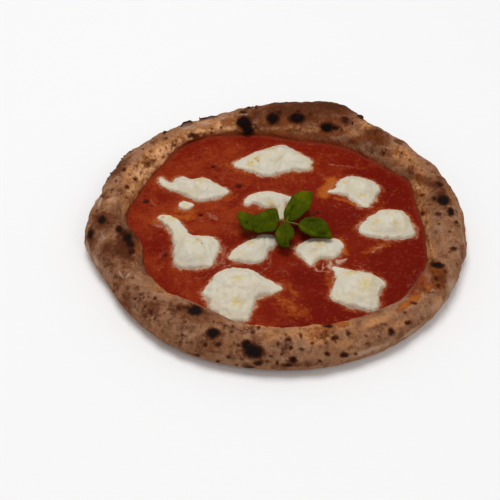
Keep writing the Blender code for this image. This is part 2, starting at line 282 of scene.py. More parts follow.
def markField(surface, marks, points, scorched=False):
    # The marks as the photograph sees them, as soft patches of up to their strength or as scorch spots
    values = np.full(len(points), -1.0 if scorched else 0.0)
    for mark in marks:
        x, y, halfWidth, halfHeight, turn, strength = (*mark, *(0, 1)[len(mark) - 4:])  # both may be left out
        place, scale = photoSpot(surface, x, y)
        offset = points - np.array(place)
        size = max(halfWidth, halfHeight) * scale
        near = np.nonzero(np.linalg.norm(offset, axis=1) < markReach * size)[0]
        offset = offset[near]
        first, second = turned(offset @ np.array(rightward), offset @ np.array(upward), turn)
        deep = (offset @ np.array(backward)) / (markDepth * size)
        reach = np.sqrt((first / (halfWidth * scale)) ** 2 + (second / (halfHeight * scale)) ** 2 + deep**2)
        found = strength * np.exp(-(reach**2))
        if scorched:
            size = math.sqrt(halfWidth * halfHeight)
            most = np.interp(size, [1.2, 2, 3, 4.5], [0.0, 0.14, 0.27, 0.6]) + 0.9 * (strength - 1)
            found = spotShape(reach, size, most)
        values[near] = np.maximum(values[near], found)
    return values


crust = {
    "radius": 151,
    "wellRadius": 117,
    "rimHeight": 25,
    "baseTop": 3.6,
    "bulgeHeight": 9,
    "footInset": 11,
    "crestShare": 0.50,
    "stepsRound": 940,
    "outlineSwells": [
        (192, 3.5, 8), (175, -3.5, 8), (160, -4, 16), (118, -8.5, 26), (98, -1.5, 9), (66, 4, 12), (53, -4.5, 10),
        (33, -3.5, 11), (8, 2, 14), (244, 2, 14), (212, -2.5, 12),
    ],
    "wellSwells": [
        (27, 8, 9), (82, -8.5, 16), (127, 9, 13), (179, 4, 9), (200, -5, 9), (243, -6.5, 12), (275, -2.6, 20),
        (318, 6, 13), (336, 6.5, 11), (352, 2.5, 14),
    ],
    "heightSwells": [(74, 5, 20), (125, -6, 26), (194, 4, 16), (40, -1, 14), (300, -2, 20), (232, 1, 14)],
    # Blisters: (x, y, radius, rise)
    "blisters": [
        (-118, -34, 15, 4), (-137, -8, 9, 3), (48, 130, 19, 3), (84, 100, 8, 4), (117, -58, 9, 3),
        (110, -72, 8, 2.5), (27, -126, 8, 3), (46, -128, 7, 2.5), (-14, -134, 9, 2), (-44, -122, 8, 2),
        (-62, -106, 10, 2), (-27, 118, 8, 3), (-4, 125, 9, 2.5), (16, 126, 8, 2), (-78, 104, 8, 2),
        (134, 30, 9, 2), (131, 62, 9, 2), (-100, -94, 11, 2), (82, -112, 12, 2), (131, -30, 10, 2),
        (-122, 62, 10, 2), (-136, 30, 9, 2), (108, 92, 11, 2),
    ],
    "bubbleCount": 420,
    "bubbleSeed": 11,
    "hiddenSpots": 80,
    "hiddenSeed": 4,
}

# Marks on the crust, read off the photograph: (x, y, half width, half height, turn, strength) in pixels and degrees
charMarks = [
    # Orange brown freckles on the golden parts
    *[(x, y, 2, 1.8, 0, 0.78) for x, y in (
        (160, 150), (166, 147), (172, 149), (155, 156), (141, 172), (137, 182), (133, 192), (183, 141), (204, 134),
        (176, 141),
        (146, 158), (168, 154), (150, 151), (138, 163), (130, 175), (127, 197), (189, 137), (212, 129), (420, 176),
        (416, 186),
        (414, 193), (424, 188), (418, 205), (426, 222), (421, 170), (409, 160), (403, 152), (398, 148), (412, 178),
        (428, 205),
        (428, 236), (431, 250), (423, 229), (395, 141), (366, 130), (413, 167), (407, 155), (331, 318), (344, 327),
        (310, 328),
        (300, 329), (262, 322), (271, 326), (352, 338), (366, 336), (374, 329),
    )],
    # upper left
    (152, 161, 3, 2.5, 0, 0.75), (147, 164, 3, 3, 0, 0.7), (163, 157, 2, 1.8, 0, 0.85), (124, 170, 2.5, 2.5),
    (135, 179, 2.4, 2.6), (127, 187, 2.6, 2.6), (193, 135.5, 5, 2, 0, 0.8), (212, 133.5, 2, 1.8), (221, 128, 2, 1.8),
    (166, 138.5, 2, 1.6), (116, 181, 2, 2), (112, 190, 2, 2), (153, 139, 1.8, 1.4), (164, 133, 2, 1.5),
    (184, 124, 2, 1.5), (191, 122.5, 2, 1.5), (105, 182, 1.5, 1.5), (114, 168, 1.4, 1.2), (124, 160, 1.4, 1.2),
    (131, 157, 1.4, 1.2), (143, 149, 1.5, 1.2), (121, 182, 1.6, 1.6),
    # far side
    (204, 119, 4, 1.5), (244, 122.5, 6.5, 5.5), (248, 130, 4.8, 3.8, 0, 0.85), (243, 112, 4, 2), (249, 108.5, 4, 1.6),
    (256, 106, 4, 1.4), (273, 118, 5.5, 5), (279, 112, 3, 2), (283, 116, 1.5, 1.5), (297, 118, 7, 4),
    (298, 111, 3, 2), (310, 114, 2.5, 2.2), (304.5, 105, 2, 1.5), (327, 127.5, 6, 4), (335, 128, 5, 2),
    (324, 131, 2, 2), (345, 119.5, 3, 3), (352.5, 123, 1.8, 2.5), (342, 130, 2, 2), (354, 112, 2, 1.5),
    (365, 115.5, 2, 2), (374.5, 134, 1.5, 3, 0, 0.8), (383, 133.5, 3, 1.4, 0, 0.8), (386, 149.5, 1.5, 1.5),
    (384, 153, 2, 2),
    # right
    (439.5, 184, 3.2, 3), (443.5, 200, 5, 5), (435, 198.5, 2.8, 2.6), (451, 212, 3, 4), (438.5, 214, 2.6, 2.6),
    (422.5, 213, 2.4, 3), (417, 198, 1.2, 1.2), (422, 195, 3, 1.5), (431, 179, 2, 1.2), (432, 172.5, 1.5, 1.5),
    (456, 222, 2.5, 2.5), (439, 224, 2, 2), (449.5, 232, 2, 2), (454, 249, 4, 2), (450, 252, 3, 1),
    (432.5, 261, 2.2, 2.2), (438, 265.5, 5.5, 2.2, -12), (433, 272.5, 1.5, 1.5), (436.5, 279, 2.5, 2.5),
    (433, 282, 1.3, 1.3), (438, 285.5, 2.5, 2.5), (445, 271, 2, 2), (417, 294.5, 2, 1), (414, 303, 3.5, 2),
    (405, 312, 3, 1.5),
    # front right
    (328, 326, 5, 1.8), (326, 332.5, 2.5, 2), (335, 338, 3.5, 2.5), (336, 342, 2, 2), (312, 342.5, 2.5, 1.5),
    (326, 343.5, 2, 1.6), (301, 336, 2, 2.5), (348, 333.5, 2.5, 2.5), (391, 331.5, 3, 3.4), (408, 322.5, 3.2, 2.5),
    (327, 354, 3.5, 2), (344, 355, 4, 2.5), (356, 354, 2.5, 1.5), (320, 361, 3, 1.8),
    # front
    (253, 351, 8.5, 6.5, -20), (246, 345, 4, 4), (253, 322.5, 4, 2), (245.5, 318.5, 3, 1), (230, 320, 2, 1),
    (253, 331.5, 2.8, 2),
    (259, 328, 2, 2), (241, 331, 1.5, 1.5), (232, 332, 2.2, 2.2), (233, 326.5, 1.8, 1.8), (268, 327, 1.5, 1.5),
    (288, 339.5, 3.2, 2.5), (287, 334, 1.8, 1.6), (290.5, 347.5, 2.5, 2.5), (303, 349, 3.5, 1.3), (278, 345, 1.8, 3),
    (281, 354.5, 2, 2), (293, 359.5, 3.8, 3), (288, 365, 4.5, 2), (277, 363, 2.2, 2.8), (267, 361, 2, 2),
    (258, 363, 4, 2.2), (242, 359.5, 2.5, 1.8), (238, 345, 2.3, 2.3), (249, 367, 4.5, 1.8), (237, 365, 1.8, 1.6),
    (228, 357, 2.5, 2), (270, 356, 3, 1.3),
    # front left
    (179, 308, 3, 2), (185, 307, 3, 1.5), (195, 310.5, 6.5, 4), (189, 307.5, 4, 1.6), (155, 318.5, 1.8, 2.5),
    (151, 312, 2.5, 2.5),
    (165, 313, 1.8, 1.8), (145, 306, 2, 2), (138, 310, 1.5, 1.5), (141, 294.5, 3, 1.8), (144, 297.5, 1.5, 1.5),
    (135, 299, 2.5, 1.5), (155, 298, 2.2, 2.2), (163, 331, 1.7, 1.7), (169, 323, 1.5, 2), (186, 322, 1.8, 1.8),
    (182.5, 335, 2.2, 2.5), (180, 342.5, 3, 1.5), (213, 333, 6, 4.2), (214, 322.5, 1.8, 1.8), (206, 345, 2.3, 3),
    (219, 344, 3.2, 2.5), (197, 355, 3.5, 1.8), (168, 347, 5, 2.5, -25), (205, 360, 2, 1.3), (218, 361, 3, 1.6),
    # left
    (97, 210.5, 2, 1.8), (102, 220, 4, 3.5), (108.5, 223.5, 2, 2), (90.5, 234, 2.7, 4.5), (127, 238, 4, 4.4, 0, 0.85),
    (119, 229, 3.4, 3.2, 0, 0.92),
    (123, 233, 3.6, 2.8, 0, 0.88), (118, 237, 2, 2.4, 0, 0.8), (130, 244.5, 3.4, 3.8, 0, 0.86),
    (124, 241, 2.8, 2.8, 0, 0.85), (131, 252, 2.8, 3.6, 0, 0.86),
    (128, 257, 2.2, 2.4, 0, 0.85), (133, 259, 2.2, 2.6, 0, 0.85), (122, 248, 2.4, 2, 0, 0.55),
    (119, 258, 3.2, 1.5, 0, 0.45), (97.5, 250, 1.5, 4, 0, 0.38), (105, 263, 2.5, 4, 0, 0.40), (133, 278, 2.3, 1.6),
    (103, 196, 3, 1.6),
]
brownMarks = [
    (125, 238, 6, 8, -15, 1.0), (130, 251, 5, 8, -10, 0.9), (379, 139, 6, 4, 10, 0.8),
    (125, 243, 10, 16, -10, 1.3), (175, 146, 4, 4), (147, 173, 3, 3), (136, 168, 4, 4), (118, 174, 4, 4),
    (245, 127, 13, 11),
    (296, 116, 12, 6), (330, 107, 16, 5), (330, 126, 14, 6), (345, 122, 8, 6), (398, 142, 7, 3.5), (372, 152, 4, 3),
    (443, 198, 8, 14), (440, 276, 6, 10), (424, 289, 6, 4), (431, 293, 6, 4),
    (384, 325, 5, 3), (350, 347, 4, 3), (366, 344, 4, 3), (379, 336, 4, 3), (326, 335, 14, 6), (250, 330, 10, 5),
    (252, 349, 14, 8), (285, 345, 10, 7), (292, 361, 8, 4), (248, 365, 12, 4), (200, 341, 5, 4), (224, 326, 5, 4),
    (212, 336, 10, 6), (188, 309, 14, 5), (152, 312, 6, 6), (140, 298, 7, 5), (115, 277, 3, 4), (117, 288, 3, 4),
    (174, 315, 4, 3), (246, 320, 10, 3), (105, 222, 6, 5), (182, 338, 6, 6), (378, 131, 7, 3), (437, 271, 5, 4),
]
# Darker baked regions and lighter golden ones
bakeMarks = [
    (126, 243, 15, 24, 0, 1.3), (103, 221, 16, 13, 0, 1.4), (91, 238, 9, 18, 0, 1.1), (128, 268, 13, 9, 0, 0.8),
    (108, 250, 12, 14, 0, 1.1), (190, 312, 28, 12, -12, 1.0), (150, 308, 18, 13, 0, 0.9), (205, 338, 26, 14, -15, 0.7),
    (255, 350, 34, 20, 0, 0.5), (292, 352, 18, 18, 0, 0.5), (245, 326, 30, 8, 0, 0.35), (330, 335, 24, 8, 0, 0.3),
    (385, 333, 28, 10, 18, 0.35), (442, 196, 12, 26, 0, 0.9), (452, 236, 9, 18, 0, 0.35), (436, 172, 7, 8, 0, 0.5),
    (438, 275, 8, 13, 0, 1.9), (330, 106, 40, 10, 0, 2.0), (288, 108, 34, 11, 0, 1.6), (364, 114, 16, 8, -25, 1.5),
    (255, 113, 15, 7, 15, 1.2), (388, 130, 20, 7, -30, 1.3), (245, 126, 14, 12, 0, 0.7), (310, 117, 46, 7, 0, 1.0),
    (117, 169, 18, 8, 47, 1.2), (148, 144, 22, 3, 30, 0.4), (165, 131, 16, 3, 28, 0.3), (168, 338, 14, 10, -25, 0.4),
    (300, 364, 30, 4, 4, 0.7),
    (146, 262, 6, 10, -30, 0.6), (414, 311, 16, 4, 25, 0.5), (462, 255, 4, 14, 0, 0.6), (113, 268, 8, 14, 30, 0.6),
    (128, 300, 12, 14, -40, 0.9), (130, 318, 10, 8, -40, 0.7), (118, 285, 10, 12, -40, 0.5), (105, 195, 10, 8, 0, 0.6),
    (98, 212, 8, 8, 0, 0.7), (415, 145, 10, 5, -40, 0.6), (400, 141, 8, 5, -30, 0.7),
]
goldMarks = [
    (150, 180, 32, 4, 46, 1.3), (205, 139, 26, 3, 20, 1.2), (128, 205, 4, 14, -20, 0.9),
    (142, 172, 18, 9, 42, 2.1), (166, 154, 24, 10, 32, 2.3), (195, 138, 24, 11, 22, 1.9), (223, 128, 18, 9, 15, 1.8),
    (131, 190, 7, 18, -15, 1.4), (285, 128, 30, 3, 2, 0.7), (350, 132, 26, 4, -10, 0.8), (320, 130, 34, 3, 0, 0.7),
    (403, 157, 16, 9, -45, 1.1), (418, 186, 8, 18, -8, 1.3), (422, 222, 6, 22, 0, 1.2), (427, 248, 6, 14, 0, 1.3),
    (440, 242, 7, 16, 0, 0.3), (414, 300, 16, 4, 30, 1.0), (366, 127, 9, 7, -30, 0.9),
    (340, 323, 14, 5, 0, 1.1), (317, 334, 13, 9, 0, 1.6), (265, 322, 24, 4, 0, 1.1), (205, 302, 28, 4, -22, 0.9),
    (138, 250, 4, 15, -10, 0.8), (165, 290, 16, 4, -30, 0.9), (376, 321, 24, 4, 22, 0.8), (113, 200, 7, 6, 0, 0.8),
    (270, 335, 20, 12, 0, 0.5), (300, 332, 20, 8, 0, 0.6),
    (345, 345, 14, 10, 10, 0.5), (400, 325, 20, 6, 22, 0.6), (440, 305, 10, 10, 45, 0.7), (205, 122, 10, 5, 12, 1.0),
]
# Around a half they turn the crust rusty, and towards one orange
orangeMarks = [
    (228, 122, 8, 6, 0, 0.9), (238, 116, 5, 5, 0, 0.6), (247, 128, 16, 14, 0, 0.5), (379, 140, 9, 9, 0, 0.60),
    (418, 196, 7, 9, 0, 0.7),
    (122, 192, 6, 7, 0, 0.5), (137, 247, 5, 15, -8, 0.75), (438, 271, 9, 10, 0, 0.95), (438, 283, 8, 8, 0, 0.85),
    (427, 288, 9, 5, 32, 1.1), (415, 297, 9, 4, 34, 1.2), (404, 306, 10, 3, 30, 1.3),
    (340, 323, 10, 4, 0, 1.1), (317, 334, 11, 8, 0, 0.9), (326, 330, 10, 5, 0, 0.85), (250, 324, 16, 3, 0, 0.7),
    (147, 162, 12, 8, 35, 0.5), (180, 146, 14, 6, 25, 0.5), (200, 137, 10, 4, 20, 0.5), (130, 202, 4, 10, 0, 0.5),
    (395, 152, 9, 5, 0, 0.55), (412, 168, 5, 9, 0, 0.5), (419, 178, 4, 9, 0, 0.6), (425, 212, 4, 14, 0, 0.5),
    (427, 240, 3, 14, 0, 0.6),
    (160, 290, 8, 3, -30, 0.5), (280, 122, 40, 8, 0, 0.72), (335, 123, 26, 8, 0, 0.70), (275, 132.5, 28, 4, 3, 0.78),
    (325, 134, 34, 4, 4, 0.78), (360, 140, 20, 4, 14, 0.75), (345, 127, 12, 5, 0, 0.6), (432, 262, 4, 4, 0, 0.8),
    (385, 154, 5, 4, 0, 0.5), (243, 330, 12, 4, 0, 0.3), (300, 340, 6, 6, 0, 0.3),
]
# Pale flour, and painted highlights along the low outer edges and on the edges of folds, where their curves catch the
# light
paleFlourAndHighlightMarks = [
    (113, 200, 6, 5, 0, 0.6), (104, 237, 6, 4, 0, 0.7), (205, 123, 6, 3, 10), (190, 127, 8, 3, 15),
    (317, 333.5, 4, 3.5), (452, 288, 9, 12, 0, 0.8), (436, 306, 12, 6, 40, 0.6), (438, 228, 8, 12, 0, 0.5),
    (104, 276, 4, 8, 20, 0.4), (244, 114, 5, 1.6, 10), (223, 119, 5, 2.5, 15), (430, 236, 6, 8, 0, 0.5),
    (97, 200, 3, 9, -20), (88, 250, 3, 12, 15), (96, 272, 4, 12, 25), (107, 292, 4, 10, 35),
    (257, 124, 5, 1.4, -55, 0.6),
    (370, 350, 30, 3, 16, 0.8), (410, 333, 16, 3, 28, 0.8), (135, 310, 6, 4, -40, 0.5), (447, 300, 8, 6, 40, 0.6),
    (462.5, 232, 1.3, 26, 0, 0.7), (98, 194, 2, 8, -12, 0.9),
    (120.5, 274, 5.5, 1.6, -45, 0.85), (128, 274.5, 5.5, 1.6, 42, 0.85), (113, 199, 5, 1.5, 20, 1),
    (206, 123, 5, 2.5, 10, 0.8),
]
redMarks = [
    (285, 136.5, 36, 2.5, 4, 0.7), (345, 140.5, 26, 2.5, 12, 0.7), (419, 281, 8, 13, -25, 1.5),
    (412, 292, 8, 7, 30, 1.1), (128, 218, 5, 5, 0, 0.3), (235, 144, 14, 3, 8, 0.7),
]
# Folds and torn bubbles: a dip along a short line, (x, y, half length, half width, turn)
dipMarks = [
    (257, 129.5, 4.5, 1.1, -50), (121, 275, 5, 1.1, -42), (129, 275, 5, 1.1, 42), (186, 125, 6, 1.3, 25),
    (462, 269, 1.1, 7), (175, 146, 4, 1.1, 35), (175, 146, 4, 1.1, -35), (248, 321.5, 8, 1, 0),
    (104, 237, 5, 1.2, 20), (445, 300, 8, 1.3, 50), (146, 290, 9, 1.2, -40), (374.5, 134, 1.2, 4, 0),
    (430, 260, 5, 1, 10),
]
ridgeMarks = [
    (258, 125, 5, 1.2, -50), (124, 271, 3, 3), (317, 333.5, 7, 5), (379, 141, 8, 8), (440, 262, 6, 3),
    (249, 108.5, 3.5, 1.6, 10, 1.6), (256.5, 106.5, 2, 1.2, 0, 1.2), (365, 115.5, 2, 1.6, 0, 2.2),
    (203, 119.5, 3, 1.6, 10, 1.6),
    (110, 245, 7, 9), (436, 236, 7, 12), (210, 338, 12, 9, 0, 0.8), (270, 352, 14, 9, 0, 0.8),
    (150, 165, 10, 5, 35, 0.7),
]

crustLook = {
    "dough": (0.285, 0.124, 0.057),
    "pinkDough": (0.330, 0.160, 0.088),
    "light": (0.42, 0.225, 0.126),
    "tan": (0.190, 0.073, 0.030),
    "gold": (0.57, 0.262, 0.105),
    "brightGold": (0.98, 0.52, 0.245),
    "baked": (0.140, 0.042, 0.0160),
    "brown": (0.080, 0.021, 0.0080),
    "freckle": (0.320, 0.096, 0.0210),
    "rust": (0.200, 0.0420, 0.0088),
    "orange": (0.41, 0.106, 0.0125),
    "dark": (0.045, 0.0110, 0.0050),
    "char": (0.0100, 0.0055, 0.0045),
    # Pale flour, also used as a painted highlight on low edges and fold edges
    "flourAndHighlight": (0.53, 0.345, 0.245),
    "red": (0.255, 0.0500, 0.0165),
    "under": (0.40, 0.27, 0.17),
}


def crustRows():
    # The rim's section as (radius, height), from the middle of the well, over the rim, to the middle below
    outer, well = crust["radius"], crust["wellRadius"]
    crest = well + crust["crestShare"] * (outer - well)
    base, bulge, top = crust["baseTop"], crust["bulgeHeight"], crust["rimHeight"]
    rows = [(0.01, base), (0.8 * well, base)]
    for share in np.linspace(0, 1, 31)[:-1]:
        turn = math.pi / 2 * share**0.85
        rows.append((crest - (crest - well) * math.cos(turn), base + (top - base) * math.sin(turn) ** 1.5))
    for turn in np.radians(np.linspace(90, 0, 27)):
        rows.append((crest + (outer - crest) * math.cos(turn), bulge + (top - bulge) * math.sin(turn)))
    for turn in np.radians(np.linspace(0, -90, 15)[1:]):
        rows.append((outer - crust["footInset"] * (1 - math.cos(turn)), bulge * (1 + math.sin(turn))))
    foot = outer - crust["footInset"]
    return np.array(rows + [(foot * share, 0) for share in (0.96, 0.9, 0.8, 0.65, 0.5, 0.35, 0.2, 0.1, 0.0001)])


def crustRims(degrees):
    # The radii of the well and of the outline in these directions
    well = swelled(degrees, crust["wellRadius"], crust["wellSwells"])
    return well, swelled(degrees, crust["radius"], crust["outlineSwells"])


def crustPoints(rows):
    # Every point of the uneven crust, worked out as part.py does it
    steps, base, top, evenWell = crust["stepsRound"], crust["baseTop"], crust["rimHeight"], crust["wellRadius"]
    degrees = np.repeat(np.arange(steps) * 360 / steps, len(rows))
    radius, z = np.tile(rows[:, 0], steps), np.tile(rows[:, 1], steps)
    flat = np.stack([np.cos(np.radians(degrees)), np.sin(np.radians(degrees))], axis=1)
    well, edge = crustRims(degrees)
    height = swelled(degrees, top, crust["heightSwells"])
    across = (radius - evenWell) / (crust["radius"] - evenWell)
    inWell, below = radius <= evenWell + 0.01, z <= 0
    reach = np.where(inWell, radius * well / evenWell, well + across * (edge - well))
    inner = base + (z - base) * (height - base) / (top - base)
    lifted = np.where((across < crust["crestShare"]) & ~below, inner, z * height / top)
    placed = np.column_stack([flat * reach[:, None], np.where(inWell, z, lifted)])
    outwards = placed - np.column_stack([flat * (0.45 * well + 0.55 * edge)[:, None], 0.4 * height])
    outwards /= np.linalg.norm(outwards, axis=1)[:, None]
    dough = 0.9 * noiseAt(placed, 22) + 0.6 * noiseAt(placed, 9)
    for x, y, spread, rise in crust["blisters"]:
        dough += rise * mound(placed, x, y, spread)
    dough *= smoothStep(placed[:, 2], base + 3, base + 7)
    return placed + outwards * dough[:, None], outwards, degrees


def crustDetail(points):
    # Bubbles, wrinkles and grain on the rim, up to about a millimetre
    detail = 0.42 * noiseAt(points, 8, 9) + 0.36 * noiseAt(points, 4.2, 1) + 0.2 * noiseAt(points, 2, 2)
    detail -= 0.55 * np.maximum(0, 0.18 - np.abs(noiseAt(points * [1, 1, 1.6], 13, 3))) / 0.18
    lottery = random.Random(crust["bubbleSeed"])
    rimPoints = np.nonzero(points[:, 2] > 5)[0]
    for _ in range(crust["bubbleCount"]):
        middle = points[lottery.choice(rimPoints)]
        size = lottery.uniform(1.6, 4.5)
        away = np.linalg.norm(points - middle, axis=1) / size
        detail += 0.16 * size * lottery.uniform(0.5, 1) * np.exp(-(away**3))
    return detail * smoothStep(points[:, 2], 2.5, 7)


def hiddenChar(points, uneven):
    # Seeded scorch spots like the others, on the outer wall of the far side, which the photograph doesn't show
    values = np.full(len(points), -1.0)
    radius = np.hypot(points[:, 0], points[:, 1])
    outside = np.nonzero((points[:, 2] > 2) & (points[:, 2] < 17) & (radius > 132) & (points[:, 1] > 5))[0]
    lottery = random.Random(crust["hiddenSeed"])
    for _ in range(crust["hiddenSpots"]):
        middle, size = points[lottery.choice(outside)], lottery.uniform(1.2, 3.6) ** 1.1
        most = np.interp(size, [1.2, 2.2, 3.5], [-0.02, 0.15, 0.5])
        values = np.maximum(values, spotShape(np.linalg.norm(uneven - middle, axis=1) / size, size, most))
    return values


def makeCrust(look):
    rows = crustRows()
    points, outwards, degrees = crustPoints(rows)
    points += outwards * crustDetail(points)[:, None]
    faces = gridFaces(crust["stepsRound"] + 1, len(rows)) % len(points)
    surface = BVHTree.FromPolygons(points.tolist(), faces.tolist())
    uneven = wandering(points, (5, 0.9, 40), (2, 0.4, 50))
    # The inner wall in front is out of the photograph's sight, so its marks end at the crest
    innerSide = np.tile(rows[:, 0], crust["stepsRound"]) < 0.5 * (crust["wellRadius"] + crust["radius"])
    seen = np.where(innerSide, smoothStep(outwards @ np.array(backward), -0.30, -0.02), 1)
    char = (markField(surface, charMarks, uneven, scorched=True) + 1) * seen - 1
    char = np.maximum(char, hiddenChar(points, uneven))
    lift = markField(surface, ridgeMarks, points) - 1.5 * markField(surface, dipMarks, points)
    lift += 0.4 * np.clip(char, 0, 0.5)
    points += outwards * (lift * smoothStep(points[:, 2], 0.5, 3))[:, None]
    height = points[:, 2]
    well, edge = crustRims(degrees)
    across = (np.hypot(points[:, 0], points[:, 1]) - well) / (edge - well)
    farness = np.sin(np.radians(degrees))
    climb = 3.2 + 1.8 * smoothStep(farness, 0.2, 0.9) + 1.2 * noiseAt(points, 14, 5)
    wallHeight = height - crust["baseTop"]
    splash = 1.15 * (1 - smoothStep(wallHeight, 0.7 * climb, climb + 3.5)) * (across < 0.4)
    # Rust coloured and darker towards the foot of the inner wall, mostly on the far side
    rusty = 0.72 * (1 - smoothStep(wallHeight, 5.5, 13)) * (across < 0.4)
    rusty *= 0.15 + 0.85 * smoothStep(farness, 0.72, 0.93)
    # The low outer edge is pale where the photograph shows it so, partly flour and partly a painted highlight where
    # its curve catches the light, and is baked darker in front
    paleLipAndHighlight = swelled(degrees, 0.75, [(200, 0.4, 30), (262, -0.6, 26), (315, 0.3, 20)])
    fields = {
        "char": char,
        "brown": markField(surface, brownMarks, uneven) * seen,
        "bake": markField(surface, bakeMarks, uneven),
        "gold": markField(surface, goldMarks, uneven),
        "orange": np.maximum(markField(surface, orangeMarks, uneven) * seen, rusty),
        "pale": markField(surface, paleFlourAndHighlightMarks, uneven) * seen,
        "red": np.maximum(splash, markField(surface, redMarks, points) * seen * 0.8),
        "lip": paleLipAndHighlight * (1 - smoothStep(height + 1.5 * noiseAt(points, 9, 8), 2, 9)) * (across > 0.5),
        "under": (height < 0.3) * 1.0,
    }
    standFor(makeMesh("crust_baked", points, faces, look, fields), "crust")
    return surface


def makeCrustLook():
    paint = Painter("bakedDough", crustLook, Roughness=0.85, Specular_IOR_Level=0.03)
    broad, mottle = paint.grain(30, 2), paint.grain(8, 5, 0.62)
    small, grit = paint.grain(3, 4, 0.6), paint.grain(1.3, 4, 0.7)
    bake, gold = paint.field("bake"), paint.field("gold")
    paint.colour = paint.blend(paint.ramp(broad, 0.38, 0.62), "dough", "pinkDough")
    # Soft lighter and darker mottling, grainy, over all of it
    cloudy = paint.grainy(paint.times(gold, -0.12), (mottle, 2.2), (small, 2), (grit, 0.9))
    paint.coat("tan", cloudy, 0.05, 0.75, 0.8)
    paint.coat("light", cloudy, -0.05, -0.65, 0.75)
    golden = paint.grainy(gold, (mottle, 0.9), (grit, 0.6))
    paint.coat("gold", golden, 0.1, 0.9, 0.92)
    paint.coat("brightGold", golden, 0.9, 1.7, 0.9)
    # Pale flour and a painted highlight along the low outer edge
    paint.coat("flourAndHighlight", paint.grainy("lip", (small, 0.7), (grit, 0.8)), 0.2, 1, 0.8)
    # Darker regions, then mottling that is soft and grainy and thickens where the crust is baked more
    spared = paint.less(bake, paint.times(gold, 0.22))
    paint.coat("baked", paint.grainy(spared, (mottle, 1.1), (small, 0.7), (grit, 0.6)), 0.05, 1.1, 0.95)
    thick = paint.less(paint.times(bake, 0.6), paint.times(gold, 0.38))
    paint.coat("brown", paint.grainy(thick, (mottle, 2.4), (small, 1.8), (grit, 0.8)), 0.25, 1.3, 0.85)
    # Grainy freckles, orange brown where the crust is golden, and fewer where it is brightest
    ruddy = paint.ramp(gold, 0.1, 0.8)
    spared = paint.less(paint.times(gold, 0.24), paint.times(paint.ramp(gold, 0.9, 1.6), 0.34))
    paint.coat(paint.blend(ruddy, "baked", "freckle"), paint.grainy(spared, (grit, 1.5), (small, 2)), 0.15, 0.6, 0.75)
    # Scattered soft scorch spots
    scorchTone = paint.blend(ruddy, "brown", "rust")
    spread = paint.less(paint.times(bake, 0.1), paint.times(gold, 0.04))
    blotches = paint.spots((3, 1.3), 7.5, 0.5, 0.26, paint.grainy(spread, (grit, 0.4)))
    paint.dab(scorchTone, paint.times(blotches, 0.5))
    # Pale flour, and painted highlights on low edges and on the edges of folds
    paint.coat("flourAndHighlight", paint.grainy("pale", (grit, 0.9)), 0.2, 0.95, 0.8)
    # Rust and orange where the dough blistered, and rust getting darker towards the foot of the inner wall, most on
    # the far side
    hot = paint.grainy("orange", (small, 1), (grit, 1.3))
    paint.coat("rust", hot, 0.15, 0.65, 0.72)
    paint.coat("orange", hot, 0.6, 1.05, 0.95)
    paint.coat("red", paint.grainy("red", (mottle, 0.8), (grit, 0.8)), 0.15, 1, 0.95)
    paint.coat("brown", paint.grainy("brown", (small, 1.6), (grit, 1.6)), 0.3, 1.2, 0.8)
    specks = paint.spots((2, 0.7), 6, 0.28, 0.22, paint.times(bake, 0.05))
    paint.dab(paint.blend(ruddy, "dark", "rust"), paint.times(specks, 0.45))
    char = paint.grainy("char", (grit, 0.45), (small, 0.4))
    paint.coat(scorchTone, char, -0.6, -0.08, 0.7)
    paint.coat("dark", char, -0.22, 0.12, 0.85)
    paint.coat("char", char, 0.06, 0.34, 0.97)
    # The underside
    scorch = paint.spots((6, 2.5), 16, 0.5, 0.12, paint.times(mottle, 0.1))
    base = paint.blend(paint.ramp(mottle, 0.42, 0.62, 0, 0.75), "under", "freckle")
    paint.dab(paint.blend(paint.times(scorch, 0.9), base, "dark"), paint.field("under"))
    return paint.finish(paint.ramp(char, 0, 0.5, 0.86, 0.66), (mottle, 1.4, 0.4), (small, 1, 0.6), (grit, 0.6, 0.7))


# Torn, scorched blisters that stand on the rim's far edge: their foot and their top edge, in pixels
crustFlakes = {
    "crust_flake_left": {
        "foot": [(180.5, 127.8), (184, 127), (188, 126.2), (192.2, 125)],
        "top": [(180.8, 126.6), (183.0, 122.6), (186.8, 121.2), (190.6, 120.6), (192.4, 123.2)],
    },
    "crust_flake_far_left": {
        "foot": [(199, 122), (205, 120.8), (211, 119), (217.5, 117.4)],
        "top": [(199, 117.4), (201, 118.2), (206, 117.4), (211, 116.2), (217.5, 116)],
    },
}
flakeSheet = {"steps": 36, "levels": 6, "sunk": 1, "outwards": 1.2, "bulge": 1.4, "thickness": 0.5}


def makeFlake(name, flake, surface, look):
    steps, levels = flakeSheet["steps"], flakeSheet["levels"]
    foot, top = openCurve(flake["foot"], steps), openCurve(flake["top"], steps)
    places = np.array([photoSpot(surface, *pixel)[0] for pixel in foot])
    places = np.stack([np.convolve(np.pad(axis, 3, "edge"), np.ones(7) / 7, "valid") for axis in places.T], axis=1)
    # The top edge stands above the foot, a little further out
    start = np.array(photoView["place"])
    sights = photoPlace(top, np.zeros(steps)) - start
    edge = start + sights * ((places[:, 1] + flakeSheet["outwards"] - start[1]) / sights[:, 1])[:, None]
    rise = np.linspace(0, 1, levels)[:, None, None]
    buried = places - [0, 0, flakeSheet["sunk"]]
    sheet = buried + (edge - buried) * rise
    sheet[..., 1] += flakeSheet["bulge"] * np.sin(math.pi * rise[..., 0])
    points = sheet.reshape(-1, 3)
    points += 0.25 * scattered(points, 2.5, 90)
    share = np.repeat(np.linspace(0, 1, levels), steps)
    char = share**2 * 1.7 - 1.1 + 0.3 * noiseAt(points, 3, 93)
    fields = {"char": char, "pale": 1 - share, "bake": 0.4 + 0 * share}
    made = makeMesh(name, points, gridFaces(levels, steps), look, fields)
    thicken(made, flakeSheet["thickness"])
    standFor(made, "crust")


